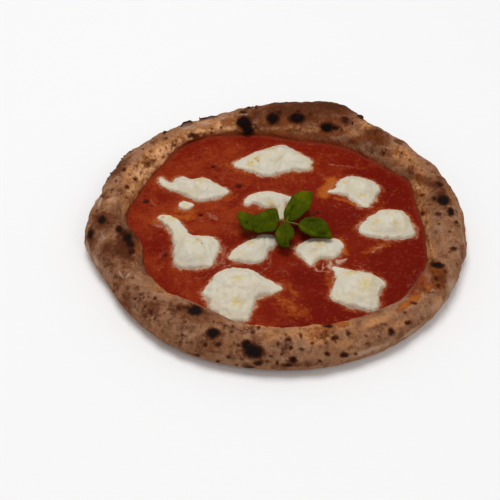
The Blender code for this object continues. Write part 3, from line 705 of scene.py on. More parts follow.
# Small charred bumps on the rim's outline: (x, y) of a place just outside it, in pixels, and the radius in millimetres
charBumps = [
    (364.5, 112, 2.2), (249, 104, 1.5), (256.5, 102, 1.1), (253, 103, 0.9), (121, 158, 0.8), (124.5, 156, 0.7),
    (130, 152, 0.8), (107, 171, 0.8), (104, 176, 0.7), (163, 130, 1.2),
]


def makeBumps(surface, look):
    points, faces = [], []
    rounds, levels = 14, 8
    turns = np.linspace(0, 2 * math.pi, rounds, endpoint=False)
    ball = np.array([(math.sin(tip) * math.cos(turn), math.sin(tip) * math.sin(turn), math.cos(tip))
                     for tip in np.linspace(0.05, math.pi - 0.05, levels) for turn in turns])
    for x, y, radius in charBumps:
        place, normal = outlineSpot(surface, x, y)
        bump = np.array(place + normal * 0.1 * radius) + radius * ball * [1.5, 1.2, 0.9]
        first = len(points)
        points.extend(bump + 0.3 * radius * scattered(bump, 2, 95))
        for corner in range(first, first + (levels - 1) * rounds, rounds):
            for turn in range(rounds):
                here, beyond = corner + turn, corner + (turn + 1) % rounds
                faces.append((here, beyond, beyond + rounds, here + rounds))
        faces.append([first + turn for turn in reversed(range(rounds))])
        faces.append([first + (levels - 1) * rounds + turn for turn in range(rounds)])
    made = makeMesh("crust_charred_bumps", points, faces, look, {"char": np.full(len(points), 0.08)})
    standFor(made, "crust")


cheese = {
    "top": 7.0,  # height of the underside of the solids
    "sunk": 5.4,  # the torn pieces sink this low into the sauce
    "foot": 0.6,  # and their foot this much lower
    "low": 3.0,
    "lip": 0.9,  # the melted edge is this thick
    "edge": 8.5,
    "film": 1.1,  # the melted edge runs this far beyond the solid's outline
    "spacing": 0.8,
    "ragged": 1.0,
}
# Each piece: the corners of its foot, its mounds (x, y, spread, rise), and its own marks:
# creases (x, y, x, y, depth, half width), and yellow patches and brown spots (x, y, radius)
cheesePieces = {
    "mozzarella_back": {
        "corners": [(-38, 71), (-28, 82), (-13, 92), (1, 100), (8, 99), (21, 89), (30, 80), (27, 69), (17, 67),
                    (3, 63), (-9, 58), (-23, 63)],
        "mounds": [(-8, 77, 15, 5), (3, 90, 9, 3), (17, 80, 10, 4)],
        "creases": [(2, 66, 8, 84, 1.6, 2.2), (-26, 66, -18, 80, 1.0, 2)],
        "yellow": [(-6, 88, 8), (-19, 75, 5), (-24, 70, 5)],
        "spots": [(-19, 75, 2), (-17, 72, 1.6), (-22, 71, 1.6)],
    },
    "mozzarella_back_left": {
        "corners": [(-40, 36), (-50, 44), (-63, 52), (-71, 48), (-80, 53), (-87, 49), (-89, 44), (-98, 51),
                    (-99, 44), (-90, 36), (-80, 31), (-66, 23), (-50, 27)],
        "mounds": [(-61, 38, 13, 5), (-76, 41, 9, 3)],
        "creases": [(-72, 50, -68, 26, 1.6, 2.4), (-86, 34, -78, 30, 1, 2)],
        "yellow": [(-61, 50, 5), (-66, 42, 5)],
    },
    "mozzarella_crumb": {
        "corners": [(-69, 18), (-74, 22), (-80, 20), (-80, 15), (-75, 13), (-71, 14)],
        "mounds": [(-75, 18, 5, 1)],
        "creases": [],
        "yellow": [(-75, 17, 4)],
    },
    "mozzarella_middle": {
        "corners": [(-27, 24), (-22, 33), (-7, 37), (5, 35), (13, 30), (8, 22), (6, 8), (3, 5), (1, 9), (0, 18),
                    (-12, 18), (-18, 22), (-24, 20)],
        "mounds": [(-8, 28, 13, 4), (-22, 27, 6, 2)],
        "creases": [(-18, 34, -17, 20, 1.8, 1.6)],
        "yellow": [(-5, 20, 4)],
        "spots": [(2, 19, 1.4)],
    },
    "mozzarella_back_right": {
        "corners": [(43, 41), (49, 47), (51, 54), (63, 62), (78, 58), (87, 49), (82, 35), (75, 24), (66, 27),
                    (57, 37), (49, 40)],
        "mounds": [(66, 48, 12, 4), (75, 42, 9, 3)],
        "creases": [(54, 40, 60, 52, 1.2, 2)],
        "yellow": [(70, 34, 5), (57, 50, 4)],
    },
    "mozzarella_right": {
        "corners": [(88, 20), (105, 18), (111, -2), (107, -11), (88, -14), (72, -11), (66, -4), (73, 9), (80, 15)],
        "mounds": [(95, 5, 16, 7), (78, -4, 9, 2)],
        "creases": [(84, -12, 88, 14, 1.6, 3), (100, -10, 98, 6, 1, 3)],
        "yellow": [(95, -2, 4), (80, 0, 4)],
        "spots": [(97, 11, 1.3)],
    },
    "mozzarella_left": {
        "corners": [(-97, 1), (-90, 4), (-80, -1), (-72, -12), (-67, -19), (-50, -20), (-45, -33), (-50, -51),
                    (-57, -54), (-72, -56), (-79, -50), (-82, -25), (-85, -13), (-93, -4)],
        "mounds": [(-68, -38, 16, 7), (-83, -6, 9, 2)],
        "creases": [(-60, -22, -51, -50, 1.6, 2), (-78, -24, -66, -20, 1, 2)],
        "yellow": [(-85, -2, 5), (-62, -30, 4)],
        "spots": [(-59, -34, 1.7), (-62, -31, 1.3), (-79, -31, 1.2), (-92, 0, 2)],
    },
    "mozzarella_front_middle": {
        "corners": [(-37, -42), (-31, -31), (-14, -17), (-7, -14), (-1, -17), (0, -26), (-6, -33), (-8, -39),
                    (-14, -46), (-28, -46)],
        "mounds": [(-22, -36, 13, 6), (-8, -23, 8, 4)],
        "creases": [(-8, -32, -10, -20, 1.6, 1.8), (-30, -42, -22, -34, 0.8, 2)],
        "yellow": [(-20, -32, 4)],
    },
    "mozzarella_front_left": {
        "corners": [(-55, -80), (-47, -63), (-38, -55), (-21, -54), (-5, -65), (5, -71), (0, -77), (-13, -83),
                    (-16, -90), (-20, -105), (-33, -108), (-47, -98), (-51, -87)],
        "mounds": [(-30, -70, 18, 6), (-32, -93, 14, 3), (-12, -70, 9, 2)],
        "creases": [(-52, -80, -22, -82, 1.8, 2.6), (-20, -60, -16, -78, 1.0, 2.4), (-42, -96, -26, -94, 0.7, 2)],
        "yellow": [(-28, -93, 8), (-30, -72, 6)],
    },
    "mozzarella_middle_right": {
        "corners": [(15, -29), (27, -18), (40, -17), (50, -17), (53, -26), (46, -37), (33, -40), (27, -47),
                    (23, -42)],
        "mounds": [(32, -27, 13, 4), (48, -23, 5, 1)],
        "creases": [(38, -18, 42, -34, 1.0, 2), (24, -40, 32, -34, 1.2, 2)],
        "yellow": [(35, -27, 6), (30, -29, 4)],
    },
    "mozzarella_front_right": {
        "corners": [(44, -47), (58, -50), (74, -54), (84, -63), (79, -73), (77, -88), (69, -92), (50, -86),
                    (41, -78), (46, -63), (45, -53)],
        "mounds": [(62, -73, 17, 5), (72, -62, 9, 2)],
        "creases": [(54, -62, 76, -70, 0.8, 3), (52, -84, 60, -76, 0.8, 2.4)],
        "yellow": [(61, -54, 6), (56, -57, 4), (68, -70, 9), (76, -57, 4)],
        "spots": [(76, -57, 1.3), (58, -56, 1.2)],
    },
}

cheeseLook = {
    "milk": (0.665, 0.615, 0.500),
    "cream": (0.650, 0.575, 0.400),
    "yellow": (0.62, 0.47, 0.14),
    "spot": (0.50, 0.20, 0.035),
    "pink": (0.61, 0.43, 0.29),
    "edge": (0.42, 0.150, 0.065),
}


def curveThrough(before, here, after, beyond):
    # Twelve points of a smooth curve from each place to the one after it
    share = np.linspace(0, 1, 12, endpoint=False)[:, None, None]
    bend = 2 * here + (after - before) * share + (2 * before - 5 * here + 4 * after - beyond) * share**2
    bend = (bend + (3 * here - before - 3 * after + beyond) * share**3) / 2
    return bend.transpose(1, 0, 2).reshape(-1, 2)


def evenly(line, count, closed=False):
    # The line as this many even points, or closed and with points this far apart
    if closed:
        line = np.vstack([line, line[:1]])
    travelled = np.concatenate([[0], np.cumsum(np.linalg.norm(np.diff(line, axis=0), axis=1))])
    count = round(travelled[-1] / count) if closed else count
    places = np.linspace(0, travelled[-1], count, endpoint=not closed)
    return np.stack([np.interp(places, travelled, line[:, axis]) for axis in (0, 1)], axis=1)


def smoothOutline(corners, spacing):
    # A closed smooth curve through the corners, as points this far apart
    here = np.array(corners, float)
    before, after, beyond = (np.roll(here, turn, axis=0) for turn in (1, -1, -2))
    return evenly(curveThrough(before, here, after, beyond), spacing, closed=True)


def openCurve(corners, count):
    # A smooth curve from the first corner to the last, as this many even points
    here = np.array(corners, float)
    padded = np.vstack([2 * here[0] - here[1], here, 2 * here[-1] - here[-2]])
    line = curveThrough(padded[:-3], padded[1:-2], padded[2:-1], padded[3:])
    return evenly(np.vstack([line, here[-1:]]), count)


def outlineDepth(outline, points):
    # How far each point lies inside the outline; outside is negative
    starts, ends = outline, np.roll(outline, -1, axis=0)
    sides = ends - starts
    gaps = points[:, None] - starts[None]
    along = np.clip((gaps * sides).sum(axis=2) / (sides * sides).sum(axis=1), 0, 1)
    distance = np.linalg.norm(gaps - along[..., None] * sides, axis=2).min(axis=1)
    above = (starts[:, 1] > points[:, 1:2]) != (ends[:, 1] > points[:, 1:2])
    rise = np.where(sides[:, 1] == 0, 1, sides[:, 1])
    crossing = starts[:, 0] + (points[:, 1:2] - starts[:, 1]) * sides[:, 0] / rise
    inside = (above & (points[:, :1] < crossing)).sum(axis=1) % 2 == 1
    return np.where(inside, distance, -distance)


def stroke(points, x0, y0, x1, y1, half):
    # 1 on this line, and less beside it
    start, side = np.array([x0, y0]), np.array([x1 - x0, y1 - y0], float)
    along = np.clip((points - start) @ side / (side @ side), 0, 1)
    away = np.linalg.norm(points - start - along[:, None] * side, axis=1)
    return np.exp(-((away / half) ** 2))


def highest(count, found):
    # The highest of these values at each of the points, and at least 0
    return np.max([np.zeros(count), *found], axis=0)


def raggedOutline(corners, seed):
    outline = smoothOutline(corners, cheese["spacing"])
    tangent = np.roll(outline, -1, axis=0) - np.roll(outline, 1, axis=0)
    outward = np.stack([tangent[:, 1], -tangent[:, 0]], axis=1) / np.linalg.norm(tangent, axis=1)[:, None]
    flat = np.column_stack([outline, np.full(len(outline), seed * 9.0)])
    wander = cheese["ragged"] * (noiseAt(flat, 6) + 0.9 * noiseAt(flat, 2.6) + 0.45 * noiseAt(flat, 1.3))
    if outlineDepth(outline, outline + 0.2 * outward).mean() > 0:
        outward = -outward
    return outline + outward * (cheese["film"] + wander)[:, None]


def relaxed(values, faces, rounds):
    # The values at a mesh's points, evened out with their neighbours this many times
    starts, ends = np.array([(face[i - 1], face[i]) for face in faces for i in range(len(face))]).T
    count = len(values)
    neighbours = np.bincount(starts, minlength=count) + np.bincount(ends, minlength=count)
    for _ in range(rounds):
        total = np.bincount(starts, values[ends], count) + np.bincount(ends, values[starts], count)
        values = total / np.maximum(neighbours, 1)
    return values


def makeCheese(node, piece, look, seed):
    outline = raggedOutline(piece["corners"], seed)
    low, high = outline.min(axis=0), outline.max(axis=0)
    spacing = cheese["spacing"]
    across, down = np.arange(low[0], high[0], 1.05 * spacing), np.arange(low[1], high[1], 0.92 * spacing)
    net = np.array([(x + (row % 2) * 0.52 * spacing, y) for row, y in enumerate(down) for x in across])
    net = net[outlineDepth(outline, net) > 0.55 * spacing]
    corners = [Vector(point) for point in np.vstack([outline, net])]
    found = geometry.delaunay_2d_cdt(corners, [], [list(range(len(outline)))], 1, 1e-5)
    places, faces = np.array([tuple(point) for point in found[0]]), [list(face) for face in found[2]]
    count = len(places)
    depth = np.maximum(0, outlineDepth(outline, places))
    flat = np.column_stack([places, np.zeros(count)])
    crown = np.full(count, cheese["low"] + cheese["top"] - cheese["sunk"])
    for x, y, spread, rise in piece["mounds"]:
        crown += rise * mound(places, x, y, spread)
    share = np.clip((depth - 0.5 * cheese["film"]) / (cheese["edge"] * (1 + 0.55 * noiseAt(flat, 9, 4))), 0, 1)
    folds = 1.1 * noiseAt(flat, 9, 6) + 0.5 * noiseAt(flat, 4, 7) + 0.16 * noiseAt(flat, 1.6, 8)
    folds -= 0.5 * np.maximum(0, 0.22 - np.abs(noiseAt(flat, 9, 3 + seed))) / 0.22
    bent = (flat + 1.6 * scattered(flat, 7, 60))[:, :2]
    for *line, deep, half in piece["creases"]:
        folds -= 0.7 * deep * stroke(bent, *line, half)
    swell = (crown - cheese["lip"]) * (1 - (1 - share) ** 2)
    swell += (relaxed(swell, faces, 40) - swell) * smoothStep(depth, 0.3, 3)
    z = cheese["sunk"] + cheese["lip"] * smoothStep(depth, -0.3, 1.6) + swell + folds * share
    foot = np.column_stack([outline, np.full(len(outline), cheese["sunk"] - cheese["foot"])])
    nearest = [int(np.argmin(np.linalg.norm(places - point, axis=1))) for point in outline]
    fields = {
        "yellow": highest(count, [mound(places, *patch) for patch in piece["yellow"]]),
        "spot": highest(count, [mound(bent, *spot) for spot in piece.get("spots", [])]),
        "depth": depth,
    }
    fields = {name: np.pad(values, (0, len(foot))) for name, values in fields.items()}
    points = np.vstack([np.column_stack([places, z]), foot])
    made = makeMesh(node + "_melted", points, faces + skirtFaces(nearest, count), look, fields)
    standFor(made, node)


def makeCheeseLook():
    shine = {"Roughness": 0.42, "Specular_IOR_Level": 0.18}
    paint = Painter("meltedMozzarella", cheeseLook, Subsurface_Weight=0.35, Subsurface_Scale=0.004,
                    Subsurface_Radius=(1.0, 0.75, 0.45), **shine)
    broad, middle, small, fine = (paint.grain(size) for size in (12, 6, 3, 1))
    paint.colour = paint.blend(paint.ramp(broad, 0.4, 0.68, 0, 0.9), "milk", "cream")
    paint.coat("yellow", paint.grainy("yellow", (small, 1.3), (fine, 0.6)), 0.4, 1.15, 0.75)
    paint.coat("spot", paint.grainy("spot", (fine, 1)), 0.35, 1, 0.85)
    # The melted edge thins out into the sauce
    depth = paint.grainy("depth", (middle, 4), (small, 2.6), (fine, 2.4))
    paint.coat("pink", depth, 2.2, 0.2, 0.75)
    paint.coat("edge", depth, 0.9, -0.6, 0.9)
    heights = (middle, 0.9, 0.35), (small, 0.6, 0.5), (fine, 0.25, 0.55)
    return paint.finish(paint.ramp(broad, 0.35, 0.65, 0.34, 0.5), *heights)


sauce = {
    "top": 6.2,
    "bottom": 3.9,
    "overlap": 0.55,
    "climb": 1.3,  # it climbs this far up the crust, and flattens out over this width
    "climbWidth": 1.8,
    "bank": 0.5,  # it stands this much higher beside the cheese
    "cells": 236,
    "relief": [(16, 0.4), (6, 0.32), (2.6, 0.16)],
    # Burst bubbles: (x, y, radius)
    "holes": [(-108, 21, 3), (-32, 45, 3), (-62, 7, 2.4), (-55, 69, 2.4), (-87, -41, 2), (94, 47, 1.5), (34, 15, 1.5)],
    # Milky smears: (x, y, x, y, half width, strength)
    "milk": [
        (28, -45, 31, -51, 1.4, 1.3), (36, -42, 36, -50, 1.2, 1.2), (32, -51, 42, -53, 1.2, 1.2),
        (40, -41, 43, -49, 2.2, 1.5),
        (46, -40, 53, -38, 2.4, 1.6), (76, -28, 86, -21, 1.3, 1.0), (46, 78, 64, 75, 1.8, 0.8),
        (40, 42, 46, 52, 1.5, 0.9),
        (0, -82, 10, -86, 1.2, 0.7), (4, -90, 16, -93, 1.2, 0.6), (10, -80, 18, -86, 1.0, 0.6),
        (-70, 84, -58, 88, 1.5, 0.5),
        (-113, 24, -104, 16, 4, 0.55), (-92, -43, -83, -38, 3, 0.5), (46, -42, 53, -39, 2.6, 1.2),
        (38, -46, 44, -44, 2, 1.0),
        (112, -10, 114, 4, 2.6, 0.9), (-96, -6, -86, -10, 3, 0.9), (-46, -24, -41, -46, 2.2, 0.8),
        (115, -46, 106, -65, 2, 0.5),
        (-57, 8, -50, 4, 3, 0.9), (-46, -54, -38, -30, 2.4, 0.8), (-40, -52, -30, -48, 2.5, 0.8),
        (-5, -48, -4, -36, 1.6, 0.7),
        (-9, -58, -3, -44, 1.6, 0.6), (44, -42, 52, -38, 2, 0.6), (112, -8, 114, 6, 2, 0.6), (34, 36, 46, 56, 3, 0.4),
        (60, -46, 70, -42, 2, 0.5), (-90, 96, -84, 90, 4, 0.35), (-66, 100, -60, 92, 5, 0.35),
        (104, -62, 110, -46, 2.5, 0.45),
    ],
    # Warmer areas, then deeper red ones and oily orange streaks, all written the same way
    "warm": [
        (-85, 60, -40, 92, 20, 0.8), (-105, 0, -60, 22, 18, 1.0), (-108, 30, -95, 55, 12, 0.7),
        (-30, 0, 10, 55, 16, 0.8),
        (-90, -50, -60, -84, 14, 0.7), (40, 62, 80, 80, 12, 0.5), (-15, -110, 22, -94, 10, 0.5),
        (20, 110, 60, 90, 10, 0.3),
        (-44, 8, -20, -12, 13, 0.95), (-30, 62, -20, 50, 10, 0.6), (-62, 60, -20, 50, 12, 0.7),
        (-64, -8, -46, -8, 9, 0.9),
    ],
    "deep": [
        (90, -60, 112, -20, 26, 1), (30, -8, 60, 10, 16, 0.8), (40, -95, 90, -80, 18, 0.8), (100, 30, 80, 75, 14, 0.8),
        (20, -60, 34, -60, 10, 0.9), (-100, -10, -92, -50, 10, 0.4), (-40, -70, -60, -60, 10, 0.3),
        (10, -104, 40, -100, 10, 0.7),
    ],
    "oil": [
        (0, -80, 8, -84, 4, 0.6), (8, -88, 20, -98, 8, 0.56), (72, -29, 90, -17, 4.5, 0.65),
        (38, 37, 45, 56, 5.5, 1.35),
        (-80, 13, -68, 11, 3.5, 0.75), (-44, 72, -30, 60, 5, 0.5), (-50, 26, -38, 34, 4, 0.5),
        (41, -52, 43, -70, 3, 0.6),
        (-98, -2, -70, 6, 5, 0.8), (-50, -82, -44, -96, 4, 0.5), (8, -66, 14, -78, 5, 0.5), (20, 60, 40, 90, 8, 0.3),
        (-30, -10, -10, -4, 5, 0.4), (52, -16, 56, -30, 3, 0.9), (50, 34, 64, 27.5, 2.2, 0.8),
        (84, 10, 88, 30, 4, 0.4), (-110, 60, -104, 40, 4, 0.3),
    ],
}

sauceLook = {
    "deep": (0.152, 0.0066, 0.0024),
    "red": (0.205, 0.0130, 0.0038),
    "warm": (0.295, 0.038, 0.0078),
    "orange": (0.355, 0.068, 0.0085),
    "oil": (0.43, 0.100, 0.0105),
    "milk": (0.37, 0.135, 0.080),
    "film": (0.54, 0.36, 0.235),
    "burnt": (0.028, 0.010, 0.006),
    "edge": (0.200, 0.0290, 0.0098),
}


def discGrid(cells):
    # A square grid bent into a disc of radius 1, so that its cells stay about even
    line = np.linspace(-1, 1, cells + 1)
    u, v = (axis.ravel() for axis in np.meshgrid(line, line, indexing="ij"))
    wide = np.abs(u) > np.abs(v)
    safeU, safeV = np.where(u == 0, 1e-9, u), np.where(v == 0, 1e-9, v)
    radius = np.where(wide, u, v)
    turn = np.where(wide, math.pi / 4 * v / safeU, math.pi / 2 - math.pi / 4 * u / safeV)
    index = np.arange((cells + 1) ** 2).reshape(cells + 1, cells + 1)
    border = np.concatenate([index[:-1, 0], index[-1, :-1], index[:0:-1, -1], index[0, :0:-1]])
    disc = np.stack([radius * np.cos(turn), radius * np.sin(turn)], axis=1)
    return disc, gridFaces(cells + 1, cells + 1, flipped=True), border


def makeSauce(look):
    disc, faces, border = discGrid(sauce["cells"])
    edge = crustRims(np.degrees(np.arctan2(disc[:, 1], disc[:, 0])))[0] + sauce["overlap"]
    flat = disc * edge[:, None]
    count = len(flat)
    level = np.column_stack([flat, np.full(count, sauce["top"])])
    z = level[:, 2].copy()
    for size, amount in sauce["relief"]:
        z += amount * noiseAt(level, size)
    cheeseGap = np.full(count, -99.0)
    for piece in cheesePieces.values():
        outline = smoothOutline(piece["corners"], 3)
        near = np.nonzero((np.abs(flat - outline.mean(axis=0)) < 60).all(axis=1))[0]
        cheeseGap[near] = np.maximum(cheeseGap[near], outlineDepth(outline, flat[near]))
    z += sauce["bank"] * smoothStep(cheeseGap, -6, -0.5)
    fromWall = edge * (1 - np.linalg.norm(disc, axis=1))
    z += sauce["climb"] * np.exp(-fromWall / sauce["climbWidth"])
    hole = np.full(count, -1.0)
    for x, y, radius in sauce["holes"]:
        reach = np.hypot(flat[:, 0] - x, flat[:, 1] - y) / radius
        hole = np.maximum(hole, 1 - reach)
        z += -1.5 * np.exp(-((reach / 0.8) ** 4)) + 0.5 * np.exp(-(((reach - 1.3) / 0.35) ** 2))
    fields = {"gap": np.clip(-cheeseGap, 0, 30), "hole": hole, "fromWall": fromWall}
    bent = wandering(level, (12, 4, 70), (4, 1.6, 80))[:, :2]
    for kind in ("milk", "oil", "warm", "deep"):
        fields[kind] = highest(count, [strength * stroke(bent, *line) for *line, strength in sauce[kind]])
    fields = {name: np.concatenate([values, values[border]]) for name, values in fields.items()}
    skirt = np.column_stack([flat[border], np.full(len(border), sauce["bottom"])])
    points = np.vstack([np.column_stack([flat, z]), skirt])
    allFaces = faces.tolist() + skirtFaces(border.tolist(), count)
    standFor(makeMesh("sauce_spread", points, allFaces, look, fields), "sauce")


def makeSauceLook():
    paint = Painter("tomatoSauce", sauceLook, Roughness=0.42, Specular_IOR_Level=0.02)
    broad, middle = paint.grain(24, 3, 0.6, 0.4), paint.grain(8, 4, 0.6, 0.5)
    small, fine = paint.grain(3, 4, 0.62), paint.grain(1.1, 2)
    red = paint.grainy(paint.less(0.75, paint.field("deep")), (broad, 1.2), (middle, 1))
    paint.colour = paint.blend(paint.ramp(red, 0.1, 1), "deep", "red")
    paint.coat("warm", paint.grainy("warm", (broad, 1), (middle, 1.5), (small, 0.9)), 0.15, 1.3, 0.95)
    # Fine pulp: small darker and lighter flecks all over, and thin pale wisps
    paint.coat("warm", small, 0.53, 0.72, 0.55)
    paint.coat("deep", small, 0.46, 0.28, 0.65)
    thread = paint.reckon("ABSOLUTE", paint.less(paint.grain(11, 2, where=paint.stirred(9, 2.5)), 0.5))
    wisp = paint.times(paint.ramp(thread, 0.034, 0), paint.ramp(middle, 0.46, 0.62, 0, 0.35))
    paint.dab("milk", paint.times(wisp, paint.ramp(fine, 0.35, 0.6)))
    # Whey and oil round the cheese
    paint.coat("orange", paint.grainy("gap", (middle, 16), (small, 6)), 5, -1, 0.7)
    mist = paint.grainy("gap", (middle, 12), (small, 5), (fine, 5))
    paint.coat("milk", mist, 3, -0.5, 0.8)
    paint.coat("film", mist, 1, -1.2, 0.85)
    oil = paint.grainy("oil", (middle, 0.9), (small, 1), (fine, 0.6))
    paint.coat("orange", oil, 0.15, 0.8, 0.7)
    paint.coat("oil", oil, 0.45, 1.2, 0.85)
    milk = paint.grainy("milk", (small, 1.5), (fine, 0.7))
    paint.coat("milk", milk, 0.3, 1.1, 0.8)
    paint.coat("film", milk, 0.85, 1.5, 0.8)
    paint.coat("burnt", paint.grainy("hole", (small, 0.9)), -0.15, 0.5, 0.9)
    paint.coat("edge", paint.grainy("fromWall", (middle, 5), (small, 3)), 3.8, -0.8, 0.8)
    heights = (middle, 1.1, 0.35), (small, 0.7, 0.6), (fine, 0.3, 0.6)
    return paint.finish(paint.ramp(middle, 0.35, 0.65, 0.36, 0.54), *heights)


basil = {
    "thickness": 0.45,
    "rows": 84,
    "columns": 46,
    "stemCentre": (7, -8, 16.0),
    "stem": [(7, -9.5, 11.5), (7, -8.6, 14), (7, -8, 16.8)],
    # A stalk's radius, and shares of it along a stalk and along the stem
    "stalkRadius": 0.85,
    "stalkTaper": [1, 0.85, 0.8, 0.45],
    "stemTaper": [1.2, 1.2, 1.1],
    # Each leaf: the line of its midrib and those of its edges between the midrib's ends in pixels, the heights of
    # its foot and tip, and how far it arches up, its tip droops, its halves fold up and its edges curl down
    "leaves": {
        "basil_leaf_back": {
            "rib": [(287, 221), (290, 212.5), (295.5, 205), (303, 198), (312.3, 191.6)],
            "left": [(284.4, 218), (283.8, 213), (285.3, 208.5), (288, 203.5), (291.5, 197.5), (295.5, 193.6),
                     (301, 191.2), (307, 190.9)],
            "right": [(293, 220.6), (297.5, 219), (302, 215.5), (305, 212), (309, 208.3), (311.2, 204), (312.4, 198)],
            "heights": (16.5, 25), "arch": 1.0, "droop": 3, "fold": 1.6, "curl": 1.4,
        },
        "basil_leaf_right": {
            "rib": [(298.5, 224.5), (307, 228.3), (316, 231.5), (325, 235), (331.3, 238.4)],
            "left": [(301, 221), (304.5, 218.4), (309, 217.2), (315, 217.2), (320, 218.2), (325, 221.2), (328, 225.5),
                     (329.8, 230), (331.9, 234.5)],
            "right": [(298.8, 227.5), (301.5, 231), (306, 233.6), (311, 236), (316, 237), (322, 237.5), (328, 238.5)],
            "heights": (16.5, 19), "arch": 1.5, "droop": 4.5, "fold": 1.0, "curl": 2.0,
        },
        "basil_leaf_front": {
            "rib": [(284.5, 221.5), (285, 228), (285, 236), (285, 243), (286, 247.6)],
            "left": [(288, 222.6), (291, 226), (293.7, 230), (294.2, 234), (292.6, 238), (289.4, 241), (288.8, 244),
                     (289.4, 247)],
            "right": [(280.5, 225), (277, 229), (275.2, 234), (276.2, 239), (278.2, 243.6), (281.5, 246.6)],
            "heights": (16.5, 18.2), "arch": 1.5, "droop": 4.5, "fold": 0.6, "curl": 1.6,
        },
        "basil_leaf_left": {
            "rib": [(279.5, 220.5), (270, 220.5), (260, 221.5), (251, 223.5)],
            "left": [(277.6, 224), (276.6, 228), (273.4, 231.2), (267, 231.8), (261.5, 232.4), (258, 233),
                     (254.5, 231), (252, 227.5)],
            "right": [(278.4, 215), (277.2, 210.6), (274.3, 208.3), (270, 209), (265.5, 210.3), (261.5, 212.4),
                      (257, 214.4), (253.5, 218)],
            "heights": (16.5, 20), "arch": 0.5, "droop": 2.5, "fold": 1.2, "curl": 1.8,
        },
        "basil_leaf_far_left": {
            "rib": [(264, 221.5), (255, 220), (246, 217.5), (237.3, 213.6)],
            "left": [(258, 230), (252.5, 230.6), (247.5, 229.7), (243.6, 228), (241, 224.8), (239, 220.6),
                     (237.2, 216.8)],
            "right": [(260, 215.5), (255.5, 214.6), (251.5, 214.7), (248, 213.3), (244, 212), (239.6, 211.6)],
            "heights": (17.0, 17.6), "arch": 0.5, "droop": 1.5, "fold": 1.0, "curl": 1.5,
        },
    },
}

# Painted light and painted shade on the leaves, where light falls on them and where they lie in shade, with one real
# black speck among the darkest: (x, y, half width, half height, turn, strength) in pixels and degrees
leafPaintedLightMarks = [
    (303, 195, 9, 6, 40, 1), (288, 207, 3, 6, 20, 0.8), (308, 202, 4, 5, 0, 0.5), (242, 215, 5, 4, -20, 0.9),
    (263, 215, 4, 4, 0, 0.6), (273, 212, 3, 2, 0, 0.5), (272, 224, 6, 3, 0, 0.3), (278, 234, 3, 4, 0, 0.6),
    (284, 238, 2, 4, 0, 0.4),
    (303, 228, 6, 1.6, -25, 0.7), (312, 233, 5, 1.5, -35, 0.7), (329, 235, 3, 4, 0, 0.5), (325, 224, 3, 4, 0, 0.3),
    (297, 204, 5, 8, 35, 0.4),
]
leafPaintedShadeMarks = [
    (292, 208, 6, 1.6, 52, 0.9), (289, 216, 3, 4, 30, 0.7), (301, 210, 6, 4, 40, 0.4), (246.5, 222.5, 3, 2.5, 0, 0.8),
    (247.3, 222.3, 0.9, 0.8, 0, 2.5), (256, 227, 5, 4, 0, 0.6), (272, 217, 5, 3, 0, 0.5), (274, 216, 2, 5, 10, 0.6),
    (262, 229, 4, 3, 0, 0.5), (313, 221, 8, 2.4, 8, 1.0), (307, 224, 3, 3, 0, 0.6), (322, 233.5, 6, 2.5, 10, 0.9),
    (316, 228, 4, 2, 30, 0.5), (284, 244, 4, 2.5, 0, 0.7), (287.5, 232, 2.5, 1.5, -30, 0.6), (281, 227, 2, 2, 0, 0.3),
    (316, 226, 10, 6, 20, 0.5), (262, 222, 9, 6, 0, 0.3),
]

basilLook = {
    "leaf": (0.048, 0.064, 0.0007),
    # light and dark are the leaf's colour under painted light and in painted shade
    "light": (0.110, 0.118, 0.0012),
    "dark": (0.016, 0.025, 0.0004),
    "hole": (0.004, 0.003, 0.002),
    "vein": (0.070, 0.085, 0.001),
    "stalk": (0.11, 0.12, 0.010),
    "stalkBrown": (0.16, 0.075, 0.025),
}


def leafPlaces(leaf, along, aside):
    # The leaf's points and their pixels: along runs 0..1 from foot to tip, aside 1..-1 from the left edge to the right
    count = 120
    foot, *middle, tip = leaf["rib"]
    lines = []
    for corners in (middle, leaf["left"], leaf["right"]):
        line = openCurve([foot, *corners, tip], count).T
        lines.append(np.stack([np.interp(along * (count - 1), np.arange(count), axis) for axis in line], axis=1))
    rib, left, right = lines
    away = np.abs(aside)
    pixels = rib + (np.where(aside[:, None] > 0, left, right) - rib) * away[:, None]
    low, high = leaf["heights"]
    body = np.sin(math.pi * np.clip(along, 0, 1))
    heights = low + (high - low) * along + leaf["arch"] * body - leaf["droop"] * along**2.5
    heights += leaf["fold"] * away**1.3 * body - leaf["curl"] * away**4 * body**0.5
    heights += 0.4 * np.sin(9 * along + 2 * aside) * away * body
    return photoPlace(pixels, heights), pixels


def pixelClouds(marks, pixels):
    clouds = []
    for x, y, halfWidth, halfHeight, turn, strength in marks:
        first, second = turned(pixels[:, 0] - x, y - pixels[:, 1], turn)
        clouds.append(strength * np.exp(-((first / halfWidth) ** 2 + (second / halfHeight) ** 2)))
    return highest(len(pixels), clouds)


def leafVeins(along, aside):
    # (line of the veins 0..1, the puff of the blade between them)
    away = np.abs(aside)
    phase = (along - 0.30 * away**1.15) * 6.5 + np.where(aside > 0, 0.0, 0.35)
    toVein = np.abs(phase - np.round(phase))
    sides = np.exp(-((toVein / 0.055) ** 2)) * (1 - 0.75 * away) * smoothStep(along, 0.02, 0.12)
    middle = np.exp(-((away / 0.05) ** 2)) * (1 - 0.6 * along)
    puff = np.sin(math.pi * np.clip(toVein * 2, 0, 1) / 2) ** 1.2 * smoothStep(away, 0.02, 0.3) * (1 - away**6)
    return np.maximum(sides, middle), puff


